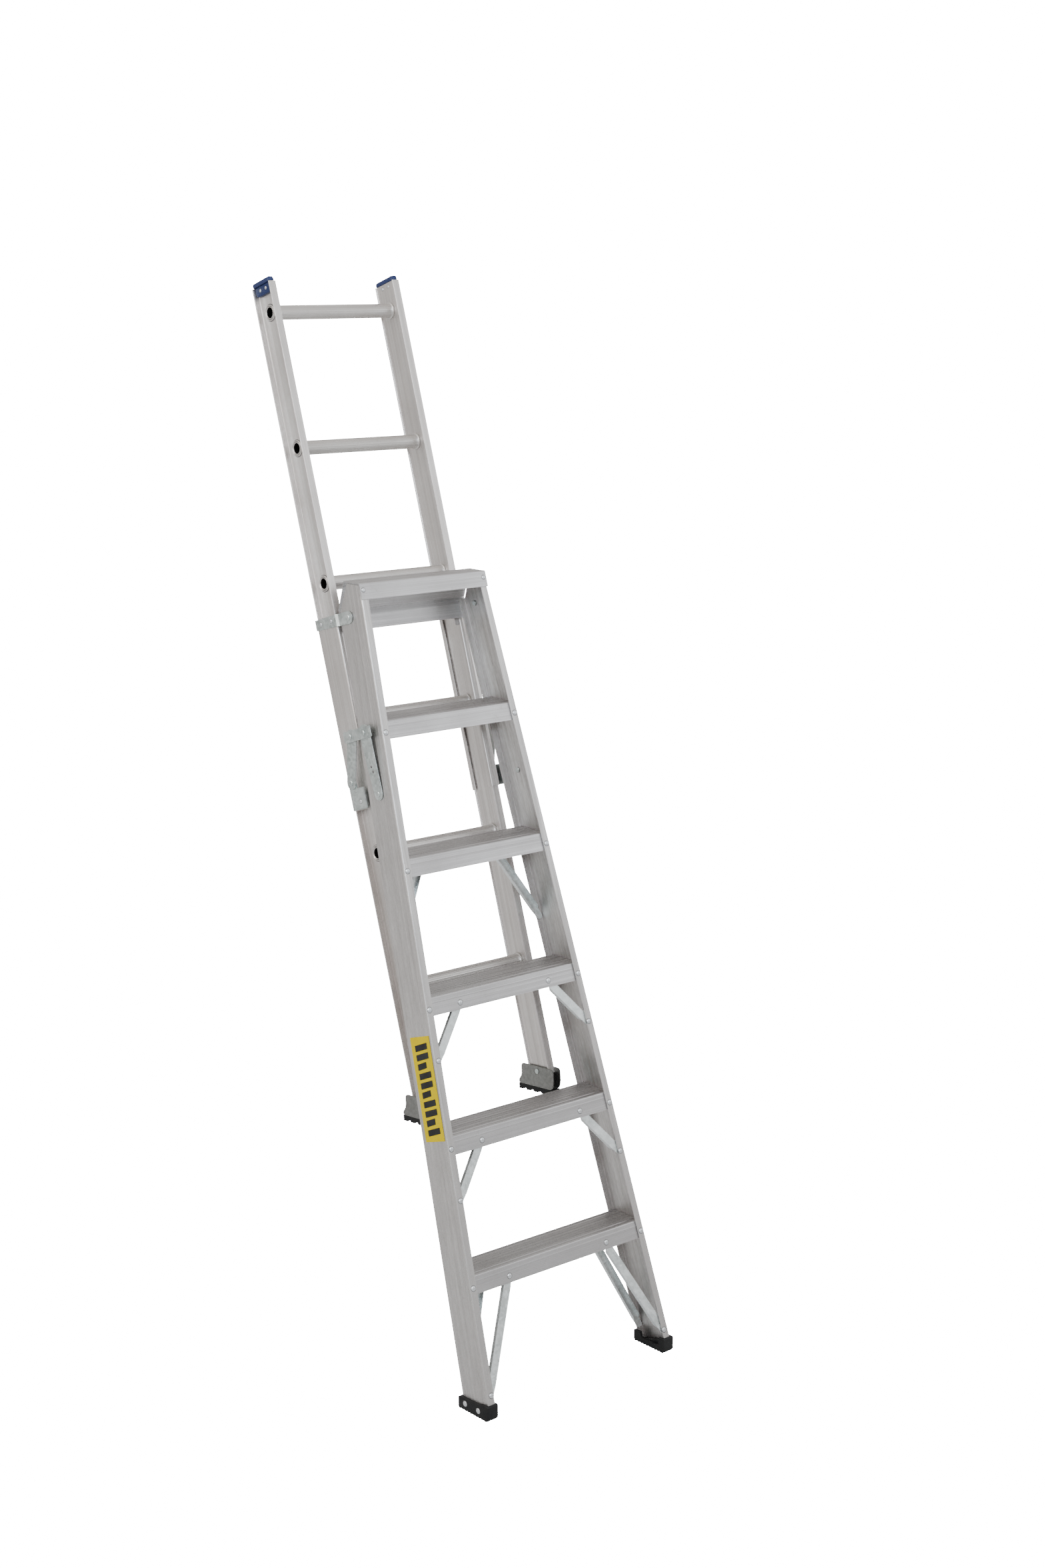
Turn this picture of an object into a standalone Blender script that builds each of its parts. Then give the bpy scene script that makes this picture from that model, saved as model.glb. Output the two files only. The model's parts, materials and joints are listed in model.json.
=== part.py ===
"""Combination step and extension ladder, in metres, +Z up, climber facing +Y.

Two sections lean together. The step section stands on the floor and carries six
steps. The fly section has six round rungs and slides in two guides, and the
guides hang from hinge straps, so the fly can also swing out as a rear leg.

Every section has its own frame: x across the ladder, y from the front of the
rails to their back, z up along the rails. Each frame is an empty, tilted by the
section's lean, and its pieces are modelled in it.
"""
import math

import bmesh
import bpy
from mathutils import Matrix

# Leans from the vertical, in degrees
LEAN_STEP = 17.7
LEAN_FLY = 17.4
SHOE_TILT = 5.1

# Both sections
RUNG_SPACING = 0.3048
GAP = 0.0003                    # clearance between pieces that touch

# Step section rails: channels that open inwards and spread towards the floor
RAIL_HALF_WIDTH = 0.2732        # to the outer face, where the rail's line meets the floor
RAIL_SPREAD = 0.0534            # half width lost for each metre up the rail
RAIL_DEPTH = 0.0887
RAIL_FLANGE = 0.0185
RAIL_WEB_THICK = 0.0022
RAIL_FLANGE_THICK = 0.0028
RAIL_CORNER = 0.0014
RAIL_INNER_CORNER = 0.0004
RAIL_START = 0.0340             # square-cut lower end
RAIL_TOP = 1.8380               # level-cut upper end, at the rail's front
CHAMFER_START = 0.0455          # distance from the front where the corner cut begins
CHAMFER_END = 1.7930            # height of the cut at the back of the rail

# Steps
STEP_RIVET_TOP = 1.5118         # height of the second step's rivets
STEP_COUNT = 5                  # below the top step
TREAD_ABOVE_RIVET = 0.0255
APRON_BELOW_RIVET = 0.0150
SKIRT_LENGTH = 0.0430
STEP_SHEET = 0.0020
TOP_HALF_WIDTH = 0.1775
TOP_SHEET = 0.0024
TOP_APRON_END = 1.8040
TOP_PANEL_END = 1.7520
TOP_PANEL_STANDOFF = 0.0040

# Braces under the steps: step number, front or rear, upper x, then lower height
BRACES = (
    (3, "rear", 0.1060, 1.0480),
    (4, "front", 0.1280, 0.7900),
    (5, "front", 0.1435, 0.4835),
    (6, "front", 0.1435, 0.0575),
    (6, "rear", 0.1610, 0.0700),
)
BRACE_WIDTH = 0.0195
BRACE_SHEET = 0.0016
BRACE_END_WIDTH = 0.0175
BRACE_LEG = 0.0090
BRACE_END = 0.0085              # past the rivet
BRACE_FLAT = 0.0120             # flattened end, from the rivet
BRACE_BEND = 0.0220             # full channel from here on
BRACE_BEHIND_APRON = 0.0060
BRACE_INSET = 0.0125            # lower rivet to the rail's outer face
REAR_BRACE_RIVET = 0.0130       # above the front rivet line

# Rubber boots
BOOT_WALL = 0.0065
BOOT_INNER_WALL = 0.0055
BOOT_HEIGHT = 0.0370
BOOT_BACK_HEIGHT = 0.0280
BOOT_FRONT = 0.0065
BOOT_BACK = 0.1085
BOOT_CORNER = 0.0060

# Main hinge and the spreader, in the step section's frame
HINGE = (0.0555, 1.7770)
SPREADER_FRONT_PIVOT = (0.0460, 1.3846)
SPREADER_FRONT_KNEE = (0.0530, 1.5223)
SPREADER_REAR_KNEE = (0.1050, 1.5220)
SPREADER_REAR_PIVOT = (0.1416, 1.4225)
LINK_SHEET = 0.0022
FOOT_LAYER = 0.1956             # inner face of each flat layer, from the centre plane
REAR_ARM_LAYER = 0.1981
FRONT_ARM_LAYER = 0.2006
PLATE_LAYER = 0.2031
STRAP_RAIL_LAYER = 0.1796
PIVOT_RADIUS = 0.0040
PIVOT_HEAD = 0.0062

# Fly section rails: channels that open outwards
FLY_INNER = 0.1617              # inboard edge of the flanges
FLY_WEB_INNER = 0.1643
FLY_WEB_OUTER = 0.1667
FLY_OUTER = 0.1800
FLY_DEPTH = 0.0696
FLY_FLANGE_THICK = 0.0032
FLY_AXIS = 0.0830               # rung axis behind the hinge
FIRST_RUNG = 0.7011             # top rung above the hinge
RUNG_COUNT = 6
FLY_ABOVE_RUNG = 0.0620
SHOE_BELOW_RUNG = 1.7850        # shoe pivot below the top rung
SHOE_BEHIND_AXIS = 0.0040
FLY_PAST_SHOE = 0.0080

# Rungs: tubes expanded on both sides of the rail webs
RUNG_RADIUS = 0.01588
RUNG_BORE = 0.0143
RUNG_BEAD_RADIUS = 0.0187
RUNG_BEAD = 0.0028
RUNG_FLARE_RADIUS = 0.0196
RUNG_FLARE = 0.0018
ROUND_SIDES = 24

# End caps on the fly rails
CAP_TOP = 0.0105
CAP_INSERT = 0.0045
CAP_INSERT_LENGTH = 0.0215

# Guides around the fly rails
GUIDE_SHEET = 0.0024
GUIDE_PLAY = 0.0006
GUIDE_LIP = 0.0120
GUIDE_TOP = 0.0162              # above the hinge
GUIDE_LENGTH = 0.4330

# Pivoting shoes, in a frame on the shoe's pivot
SHOE_SHEET = 0.0022
SHOE_FLOOR = 0.0356             # pivot to the bracket's floor
SHOE_PAD_THICK = 0.0132
SHOE_FRONT = 0.0500
SHOE_BACK = 0.0680
SHOE_TOP = 0.0120
SHOE_GROOVES = 4
SHOE_GROOVE_DEPTH = 0.0050

# Colours: base colour, metallic, roughness
FINISHES = {
    "aluminium": ((0.62, 0.61, 0.60), 1.0, 0.42),
    "zinc_steel": ((0.56, 0.60, 0.59), 1.0, 0.48),
    "black_rubber": ((0.012, 0.012, 0.013), 0.0, 0.75),
    "blue_plastic": ((0.018, 0.035, 0.13), 0.0, 0.40),
}

STEP_SIN = math.sin(math.radians(LEAN_STEP))
STEP_COS = math.cos(math.radians(LEAN_STEP))
FLY_SIN = math.sin(math.radians(LEAN_FLY))
FLY_COS = math.cos(math.radians(LEAN_FLY))
SIDES = (("left", -1), ("right", 1))


def half_width(height):
    """Outer face of a step section rail at a height along it."""
    return RAIL_HALF_WIDTH - RAIL_SPREAD * height


def level(depth, floor_height):
    """Height along the rails of a point at a true height above the floor."""
    return (floor_height + depth * STEP_SIN) / STEP_COS


def from_world(y, z):
    """Point of the step section's frame from a distance and height on the floor."""
    return y * STEP_COS - z * STEP_SIN, y * STEP_SIN + z * STEP_COS


def frame_shift():
    """Distance that centres the whole ladder's box on the origin, front to back."""
    hinge_y = HINGE[1] * STEP_SIN + HINGE[0] * STEP_COS
    cap_height = FIRST_RUNG + FLY_ABOVE_RUNG + GAP + CAP_TOP
    cap_back = FLY_AXIS + FLY_DEPTH / 2
    back = hinge_y + cap_height * FLY_SIN + cap_back * FLY_COS
    return (back + BOOT_FRONT) / 2


# ---------------------------------------------------------------- mesh helpers

def arc(centre, radius, start, end, steps):
    """Points on a circle, from one angle to another in degrees."""
    angles = [math.radians(start + (end - start) * i / steps) for i in range(steps + 1)]
    return [(centre[0] + radius * math.cos(a), centre[1] + radius * math.sin(a)) for a in angles]


def rounded(corners, radius, steps=3):
    """Outline with each convex corner replaced by a quadratic curve."""
    points = []
    for i, corner in enumerate(corners):
        before = corners[i - 1]
        after = corners[(i + 1) % len(corners)]
        starts = []
        for other in (before, after):
            reach = math.dist(corner, other)
            part = min(radius, reach * 0.45) / reach
            starts.append([corner[k] + (other[k] - corner[k]) * part for k in (0, 1)])
        for j in range(steps + 1):
            t = j / steps
            points.append(tuple(
                starts[0][k] * (1 - t) ** 2 + 2 * corner[k] * t * (1 - t) + starts[1][k] * t ** 2
                for k in (0, 1)))
    return points


def link_outline(first, first_radius, second, second_radius, steps=8):
    """Flat bar with round ends centred on two pivots."""
    along = math.degrees(math.atan2(second[1] - first[1], second[0] - first[0]))
    return (arc(first, first_radius, along + 90, along + 270, steps)
            + arc(second, second_radius, along - 90, along + 90, steps))


def extruded(outline, ends, place):
    """Closed solid between two copies of an outline; place gives each corner."""
    mesh = bmesh.new()
    rings = [[mesh.verts.new(place(a, b, end)) for a, b in outline] for end in ends]
    mesh.faces.new(rings[0])
    mesh.faces.new(rings[1])
    for i in range(len(outline)):
        j = (i + 1) % len(outline)
        mesh.faces.new((rings[0][i], rings[0][j], rings[1][j], rings[1][i]))
    bmesh.ops.recalc_face_normals(mesh, faces=mesh.faces)
    return mesh


def side_plate(outline, inner, thickness, side):
    """Flat plate across the ladder: outline in depth and height, at a distance from the centre."""
    return extruded(outline, (inner, inner + thickness), lambda y, z, x: (side * x, y, z))


def turned(profile, closed):
    """Solid turned about the x axis. A closed profile makes a tube, an open one a pin."""
    mesh = bmesh.new()
    rings = []
    for x, radius in profile:
        circle = []
        for i in range(ROUND_SIDES):
            turn = 2 * math.pi * i / ROUND_SIDES
            circle.append(mesh.verts.new((x, radius * math.cos(turn), radius * math.sin(turn))))
        rings.append(circle)
    pairs = list(zip(rings, rings[1:]))
    if closed:
        pairs.append((rings[-1], rings[0]))
    else:
        mesh.faces.new(rings[0])
        mesh.faces.new(rings[-1])
    for one, two in pairs:
        for i in range(ROUND_SIDES):
            j = (i + 1) % ROUND_SIDES
            mesh.faces.new((one[i], one[j], two[j], two[i]))
    bmesh.ops.recalc_face_normals(mesh, faces=mesh.faces)
    return mesh


def lofted(sections):
    """Solid through a list of sections with the same number of corners."""
    mesh = bmesh.new()
    rings = [[mesh.verts.new(point) for point in section] for section in sections]
    mesh.faces.new(rings[0])
    mesh.faces.new(rings[-1])
    for one, two in zip(rings, rings[1:]):
        for i in range(len(one)):
            j = (i + 1) % len(one)
            mesh.faces.new((one[i], one[j], two[j], two[i]))
    bmesh.ops.recalc_face_normals(mesh, faces=mesh.faces)
    return mesh


# -------------------------------------------------------------- object helpers

def make_material(name):
    colour, metallic, roughness = FINISHES[name]
    material = bpy.data.materials.new(name)
    material.use_nodes = True
    shader = material.node_tree.nodes["Principled BSDF"]
    shader.inputs["Base Color"].default_value = (*colour, 1.0)
    shader.inputs["Metallic"].default_value = metallic
    shader.inputs["Roughness"].default_value = roughness
    return material


def make_frame(name, parent, y, z, tilt):
    """Empty that carries a section: y and z in the parent's frame, tilt about x in degrees."""
    frame = bpy.data.objects.new(name, None)
    bpy.context.collection.objects.link(frame)
    frame.parent = parent
    frame.location = (0.0, y, z)
    frame.rotation_euler = (math.radians(tilt), 0.0, 0.0)
    return frame


def make_piece(name, mesh, finish, parent, location=(0.0, 0.0, 0.0), smooth=False):
    data = bpy.data.meshes.new(name)
    mesh.to_mesh(data)
    mesh.free()
    if smooth:
        data.shade_smooth()
        data.set_sharp_from_angle(angle=math.radians(35))
    piece = bpy.data.objects.new(name, data)
    bpy.context.collection.objects.link(piece)
    piece.parent = parent
    piece.location = location
    data.materials.append(MATERIALS[finish])
    return piece


def hide_tool(tool):
    tool.hide_render = True
    tool.display_type = "WIRE"


def combine(piece, other_mesh, operation):
    """Boolean with a helper solid in the piece's own frame."""
    data = bpy.data.meshes.new(piece.name + "_tool")
    other_mesh.to_mesh(data)
    other_mesh.free()
    tool = bpy.data.objects.new(data.name, data)
    bpy.context.collection.objects.link(tool)
    tool.parent = piece.parent
    tool.location = piece.location
    hide_tool(tool)
    boolean = piece.modifiers.new(operation.lower(), "BOOLEAN")
    boolean.operation = operation
    boolean.solver = "EXACT"
    boolean.object = tool


def drill(piece, centres, radius, low, high, side):
    """Round holes along x through a plate or a web."""
    mesh = bmesh.new()
    for y, z in centres:
        middle = Matrix.Translation((side * (low + high) / 2, y, z))
        bmesh.ops.create_cone(mesh, cap_ends=True, segments=ROUND_SIDES, radius1=radius, radius2=radius,
                              depth=high - low, matrix=middle @ Matrix.Rotation(math.pi / 2, 4, "Y"))
    combine(piece, mesh, "DIFFERENCE")


def relative(point, origin):
    return point[0] - origin[0], point[1] - origin[1]


# ----------------------------------------------------------------- step section

def chamfer_line(depth):
    """Height of the corner cut at the top of a step rail."""
    top = level(CHAMFER_START, RAIL_TOP * STEP_COS)
    part = (depth - CHAMFER_START) / (RAIL_DEPTH - CHAMFER_START)
    return top + (CHAMFER_END - top) * part


def rail_end(depth):
    """Upper end of a step rail: level at the front, then cut down to the back."""
    if depth <= CHAMFER_START:
        return level(depth, RAIL_TOP * STEP_COS)
    return chamfer_line(depth)


def step_rail(side):
    """Channel in matching outer and inner corner pairs, so that its ends are rows of quads."""
    inner_front = RAIL_FLANGE_THICK
    inner_back = RAIL_DEPTH - RAIL_FLANGE_THICK
    outer = [(RAIL_FLANGE, 0.0), (RAIL_CORNER, 0.0), (0.0, RAIL_CORNER), (0.0, CHAMFER_START),
             (0.0, RAIL_DEPTH - RAIL_CORNER), (RAIL_CORNER, RAIL_DEPTH), (RAIL_FLANGE, RAIL_DEPTH)]
    web = RAIL_WEB_THICK
    bend = RAIL_INNER_CORNER
    inner = [(RAIL_FLANGE, inner_front), (web + bend, inner_front), (web, inner_front + bend),
             (web, CHAMFER_START), (web, inner_back - bend), (web + bend, inner_back),
             (RAIL_FLANGE, inner_back)]
    mesh = bmesh.new()

    def ring(points, height_of):
        return [mesh.verts.new((side * (half_width(height_of(y)) - inward), y, height_of(y)))
                for inward, y in points]

    ends = [(ring(outer, height_of), ring(inner, height_of))
            for height_of in (lambda y: RAIL_START, rail_end)]
    (low_out, low_in), (high_out, high_in) = ends
    for i in range(len(outer) - 1):
        mesh.faces.new((low_out[i], low_out[i + 1], high_out[i + 1], high_out[i]))
        mesh.faces.new((low_in[i], low_in[i + 1], high_in[i + 1], high_in[i]))
        mesh.faces.new((low_out[i], low_out[i + 1], low_in[i + 1], low_in[i]))
        mesh.faces.new((high_out[i], high_out[i + 1], high_in[i + 1], high_in[i]))
    for i in (0, -1):
        mesh.faces.new((low_out[i], low_in[i], high_in[i], high_out[i]))
    bmesh.ops.recalc_face_normals(mesh, faces=mesh.faces)
    return mesh


def step_rivet_height(number):
    return STEP_RIVET_TOP - (number - 2) * RUNG_SPACING


def sheet_outline(path, thickness):
    """Bent sheet: the given outer path, and the same path offset to its right."""
    inner = []
    for i, point in enumerate(path):
        normals = []
        for a, b in ((i - 1, i), (i, i + 1)):
            if a < 0 or b >= len(path):
                continue
            length = math.dist(path[a], path[b])
            along = [(path[b][k] - path[a][k]) / length for k in (0, 1)]
            normals.append((along[1], -along[0]))
        total = [sum(n[k] for n in normals) for k in (0, 1)]
        scale = thickness * len(normals) / (total[0] ** 2 + total[1] ** 2)
        inner.append(tuple(point[k] + total[k] * scale for k in (0, 1)))
    return list(path) + inner[::-1]


def step_tread(number):
    """Inverted channel between the rails, with a deep front apron and a level top."""
    rivet = step_rivet_height(number)
    front = RAIL_FLANGE_THICK + GAP
    back = RAIL_DEPTH - RAIL_FLANGE_THICK - GAP
    top_front = rivet + TREAD_ABOVE_RIVET
    top_back = top_front + (back - front) * STEP_SIN / STEP_COS
    path = [(front, rivet - APRON_BELOW_RIVET), (front, top_front),
            (back, top_back), (back, top_back - SKIRT_LENGTH)]
    outline = sheet_outline(path, STEP_SHEET)
    reach = RAIL_WEB_THICK + GAP
    return extruded(outline, (-1, 1), lambda y, z, end: (end * (half_width(z) - reach), y, z))


def top_tread():
    """Top step: apron over the rail fronts, level tread, and a panel down the rails' backs."""
    top = RAIL_TOP * STEP_COS + GAP + TOP_SHEET
    front = -GAP - TOP_SHEET
    back = RAIL_DEPTH + GAP + TOP_SHEET
    run = RAIL_DEPTH - CHAMFER_START
    drop = chamfer_line(CHAMFER_START) - CHAMFER_END
    stand = (TOP_PANEL_STANDOFF + TOP_SHEET) * math.hypot(run, drop) / drop

    def slant(height):
        return CHAMFER_START + (chamfer_line(CHAMFER_START) - height) * run / drop + stand

    # the slant leaves the level tread where both meet
    high = level(CHAMFER_START, top)
    tread_end = slant(high)
    low = CHAMFER_END + (slant(CHAMFER_END) - back) * drop / run
    path = [(front, TOP_APRON_END), (front, level(front, top)), (tread_end, level(tread_end, top)),
            (back, low), (back, TOP_PANEL_END)]
    outline = sheet_outline(path, TOP_SHEET)
    return extruded(outline, (-TOP_HALF_WIDTH, TOP_HALF_WIDTH), lambda y, z, x: (x, y, z))


def brace(number, place, upper_x, lower_height, side):
    """Pressed strip from a step to a rail flange, flat at both ends and channelled between."""
    rivet = step_rivet_height(number)
    front_face = RAIL_FLANGE_THICK + GAP
    step_inside = front_face + STEP_SHEET + GAP
    if place == "front":
        upper = (upper_x, rivet)
        faces = (step_inside, front_face)
        turn = 1
    else:
        upper = (upper_x, rivet + REAR_BRACE_RIVET)
        faces = (RAIL_DEPTH - step_inside, RAIL_DEPTH - front_face)
        turn = -1
    lower = (half_width(lower_height) - BRACE_INSET, lower_height)
    length = math.dist(upper, lower)
    along = [(lower[k] - upper[k]) / length for k in (0, 1)]
    across = (-along[1], along[0])
    apron = APRON_BELOW_RIVET / abs(along[1]) + BRACE_BEHIND_APRON
    if place == "rear":
        apron = (REAR_BRACE_RIVET + APRON_BELOW_RIVET) / abs(along[1])
    low_leg = BRACE_SHEET * 1.2
    tip = BRACE_END_WIDTH / BRACE_WIDTH
    # distance along the strip, share of the width, leg depth, share of the way from step face to flange face
    stations = ((-BRACE_END, tip * 0.5, low_leg, 0), (-BRACE_END * 0.5, tip * 0.9, low_leg, 0),
                (BRACE_FLAT, tip, low_leg, 0), (BRACE_BEND, 1, BRACE_LEG, 0), (apron, 1, BRACE_LEG, 0),
                (length - BRACE_BEND, 1, BRACE_LEG, 1), (length - BRACE_FLAT, tip, low_leg, 1),
                (length + BRACE_END * 0.5, tip * 0.9, low_leg, 1),
                (length + BRACE_END, tip * 0.5, low_leg, 1))
    sections = []
    for distance, wide, leg, share in stations:
        half = BRACE_WIDTH / 2 * wide
        face = faces[0] + (faces[1] - faces[0]) * share
        x = upper[0] + along[0] * distance
        z = upper[1] + along[1] * distance
        section = [(-half, 0), (half, 0), (half, leg), (half - BRACE_SHEET, leg),
                   (half - BRACE_SHEET, BRACE_SHEET), (BRACE_SHEET - half, BRACE_SHEET),
                   (BRACE_SHEET - half, leg), (-half, leg)]
        sections.append([(side * (x + across[0] * w), face + turn * depth, z + across[1] * w)
                         for w, depth in section])
    return lofted(sections)


def boot_block(side):
    """Wedge-free rubber block that stands flat on the floor."""
    corners = [(BOOT_FRONT, 0.0), (BOOT_BACK, 0.0), (BOOT_BACK, BOOT_BACK_HEIGHT),
               (BOOT_FRONT, BOOT_HEIGHT)]
    outline = [from_world(y, z) for y, z in rounded(corners, BOOT_CORNER)]
    middle = half_width(RAIL_START)
    return side_plate(outline, middle - RAIL_FLANGE - BOOT_INNER_WALL,
                      RAIL_FLANGE + BOOT_INNER_WALL + BOOT_WALL, side)


def boot_pocket(side):
    """Room for the rail's end, open at the top."""
    low = RAIL_START - GAP
    high = RAIL_START + 0.08
    outline = [(-GAP, low), (RAIL_DEPTH + GAP, low), (RAIL_DEPTH + GAP, high), (-GAP, high)]

    def place(y, z, end):
        edge = GAP if end else -RAIL_FLANGE - GAP
        return side * (half_width(z) + edge), y, z

    return extruded(outline, (0, 1), place)


def build_step_section(frame):
    for name, side in SIDES:
        rail = make_piece(f"step_rail_{name}", step_rail(side), "aluminium", frame)
        web = half_width(HINGE[1])
        drill(rail, [HINGE], PIVOT_RADIUS + GAP, web - 0.008, web + 0.008, side)
        web = half_width(SPREADER_FRONT_PIVOT[1])
        drill(rail, [SPREADER_FRONT_PIVOT], PIVOT_RADIUS + GAP, web - 0.008, web + 0.008, side)
        boot = make_piece(f"boot_{name}", boot_block(side), "black_rubber", frame)
        combine(boot, boot_pocket(side), "DIFFERENCE")
        for number, place, upper_x, lower_height in BRACES:
            mesh = brace(number, place, upper_x, lower_height, side)
            make_piece(f"step_{number}_{place}_brace_{name}", mesh, "zinc_steel", frame)
    make_piece("top_step", top_tread(), "aluminium", frame)
    for number in range(2, 2 + STEP_COUNT):
        make_piece(f"step_{number}", step_tread(number), "aluminium", frame)


# ------------------------------------------------------------------ fly section

def fly_rail(side):
    """Channel opening outwards, its web set in a little from the flanges' inner edges."""
    edge = FLY_DEPTH / 2
    inside = edge - FLY_FLANGE_THICK
    half = [(FLY_INNER, edge), (FLY_OUTER, edge), (FLY_OUTER, inside - 0.0004), (FLY_WEB_OUTER, inside)]
    other = [(x, -y) for x, y in reversed(half)]
    outline = half + other + [(FLY_INNER, -inside), (FLY_WEB_INNER, 0.0006 - inside),
                              (FLY_WEB_INNER, inside - 0.0006), (FLY_INNER, inside)]
    low = FIRST_RUNG - SHOE_BELOW_RUNG - FLY_PAST_SHOE
    high = FIRST_RUNG + FLY_ABOVE_RUNG
    return extruded(outline, (low, high), lambda x, y, z: (side * x, FLY_AXIS + y, z))


def rung_tube():
    """Tube with a bead inside each rail web and a flared lip outside it."""
    bead_end = FLY_WEB_INNER - GAP
    flare = FLY_WEB_OUTER + GAP
    half = [(bead_end - RUNG_BEAD, RUNG_RADIUS), (bead_end - RUNG_BEAD + 0.0006, RUNG_BEAD_RADIUS),
            (bead_end, RUNG_BEAD_RADIUS), (bead_end, RUNG_RADIUS), (flare, RUNG_RADIUS),
            (flare, RUNG_FLARE_RADIUS), (flare + RUNG_FLARE * 0.5, RUNG_FLARE_RADIUS),
            (flare + RUNG_FLARE, RUNG_BORE + 0.0014), (flare, RUNG_BORE)]
    mirrored = [(-x, radius) for x, radius in reversed(half)]
    return turned(mirrored + half, closed=True)


def cap_top(side):
    corners = [(FLY_INNER, -FLY_DEPTH / 2), (FLY_OUTER, -FLY_DEPTH / 2),
               (FLY_OUTER, FLY_DEPTH / 2), (FLY_INNER, FLY_DEPTH / 2)]
    outline = rounded(corners, 0.005)
    low = FIRST_RUNG + FLY_ABOVE_RUNG + GAP
    return extruded(outline, (low, low + CAP_TOP), lambda x, y, z: (side * x, FLY_AXIS + y, z))


def cap_insert(side):
    half = FLY_DEPTH / 2 - FLY_FLANGE_THICK - 0.0008
    inner = FLY_WEB_OUTER + GAP
    top = FIRST_RUNG + FLY_ABOVE_RUNG + GAP + CAP_TOP / 2
    low = FIRST_RUNG + FLY_ABOVE_RUNG - CAP_INSERT_LENGTH
    outline = [(FLY_AXIS - half, low), (FLY_AXIS + half, low), (FLY_AXIS + half, top), (FLY_AXIS - half, top)]
    return side_plate(outline, inner, CAP_INSERT, side)


def build_fly_section(frame):
    rungs = [FIRST_RUNG - i * RUNG_SPACING for i in range(RUNG_COUNT)]
    shoe_pivot = (FLY_AXIS + SHOE_BEHIND_AXIS, FIRST_RUNG - SHOE_BELOW_RUNG)
    for name, side in SIDES:
        rail = make_piece(f"fly_rail_{name}", fly_rail(side), "aluminium", frame)
        cut = (FLY_INNER - 0.002, FLY_WEB_OUTER + 0.002)
        drill(rail, [(FLY_AXIS, z) for z in rungs], RUNG_RADIUS + GAP, *cut, side)
        drill(rail, [shoe_pivot], PIVOT_RADIUS + GAP, *cut, side)
        cap = make_piece(f"end_cap_{name}", cap_top(side), "blue_plastic", frame)
        combine(cap, cap_insert(side), "UNION")
    for i, z in enumerate(rungs):
        make_piece(f"rung_{i + 1}", rung_tube(), "aluminium", frame, (0.0, FLY_AXIS, z), smooth=True)


# ---------------------------------------------------------------------- guides

def guide_outline():
    """Section of a guide: channel around the rail with lips on its inner edges."""
    outer = FLY_OUTER + GUIDE_PLAY + GUIDE_SHEET
    lip = FLY_INNER - GUIDE_PLAY
    edge = FLY_DEPTH / 2 + GUIDE_PLAY + GUIDE_SHEET
    inside = edge - GUIDE_SHEET
    half = [(outer, edge), (lip - GUIDE_SHEET, edge), (lip - GUIDE_SHEET, edge - GUIDE_LIP),
            (lip, edge - GUIDE_LIP), (lip, inside), (outer - GUIDE_SHEET, inside)]
    return half + [(x, -y) for x, y in reversed(half)]


def strap(side):
    """Hinge strap: wide on the guide, joggled in, with a round end on the hinge pivot."""
    outer = FLY_OUTER + GUIDE_PLAY + GUIDE_SHEET + GAP
    back = FLY_AXIS + FLY_DEPTH / 2 + 0.003
    low = GUIDE_TOP - 0.0235
    joggle = ((0.036, STRAP_RAIL_LAYER), (0.042, outer))
    top_line = [(0.0, 0.0140), (joggle[0][0], 0.0150), (joggle[1][0], 0.0152), (back, GUIDE_TOP)]
    low_line = [(0.0, -0.0140), (joggle[0][0], -0.0118), (joggle[1][0], -0.0112), (back, low)]
    tip = arc((0.0, 0.0), 0.0140, 90, 270, 10)
    mesh = bmesh.new()
    faces = []
    layers = []
    for extra in (0.0, LINK_SHEET):
        tip_ring = [mesh.verts.new((side * (STRAP_RAIL_LAYER + extra), y, z)) for y, z in tip]
        tops = [tip_ring[0]]
        lows = [tip_ring[-1]]
        for i, x in ((1, joggle[0][1]), (2, joggle[1][1]), (3, outer)):
            tops.append(mesh.verts.new((side * (x + extra), *top_line[i])))
            lows.append(mesh.verts.new((side * (x + extra), *low_line[i])))
        faces.append(mesh.faces.new(tip_ring))
        for i in range(3):
            faces.append(mesh.faces.new((tops[i], tops[i + 1], lows[i + 1], lows[i])))
        layers.append(tip_ring + lows[1:] + tops[:0:-1])
    for i in range(len(layers[0])):
        j = (i + 1) % len(layers[0])
        mesh.faces.new((layers[0][i], layers[0][j], layers[1][j], layers[1][i]))
    bmesh.ops.recalc_face_normals(mesh, faces=mesh.faces)
    return mesh


def in_hinge_frame(point):
    """Point of the step section's frame, seen from the guides' frame at rest."""
    turn = math.radians(LEAN_FLY - LEAN_STEP)
    y, z = relative(point, HINGE)
    return y * math.cos(turn) - z * math.sin(turn), y * math.sin(turn) + z * math.cos(turn)


def spreader_foot(side):
    """Standing bracket on the guide: base, back wall, and an outer plate with the arm's pivot."""
    base = FLY_OUTER + GUIDE_PLAY + GUIDE_SHEET + GAP
    outer = FOOT_LAYER + LINK_SHEET
    pivot = in_hinge_frame(SPREADER_REAR_PIVOT)
    bottom = GUIDE_TOP - GUIDE_LENGTH + 0.0010
    top = pivot[1] - 0.0135
    front = pivot[0] - 0.0380
    back = pivot[0] + 0.0150
    section = [(base, back), (outer, back), (outer, front), (FOOT_LAYER, front),
               (FOOT_LAYER, back - LINK_SHEET), (base + LINK_SHEET, back - LINK_SHEET),
               (base + LINK_SHEET, front + 0.0160), (base, front + 0.0160)]
    return extruded(section, (bottom, top), lambda x, y, z: (side * x, y, z))


def foot_ear(side):
    """Round ear of the bracket that holds the rear arm's pivot."""
    pivot = in_hinge_frame(SPREADER_REAR_PIVOT)
    low = pivot[1] - 0.030
    outline = arc(pivot, 0.0150, 0, 180, 10) + [(pivot[0] - 0.0150, low), (pivot[0] + 0.0150, low)]
    return side_plate(outline, FOOT_LAYER, LINK_SHEET, side)


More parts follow.
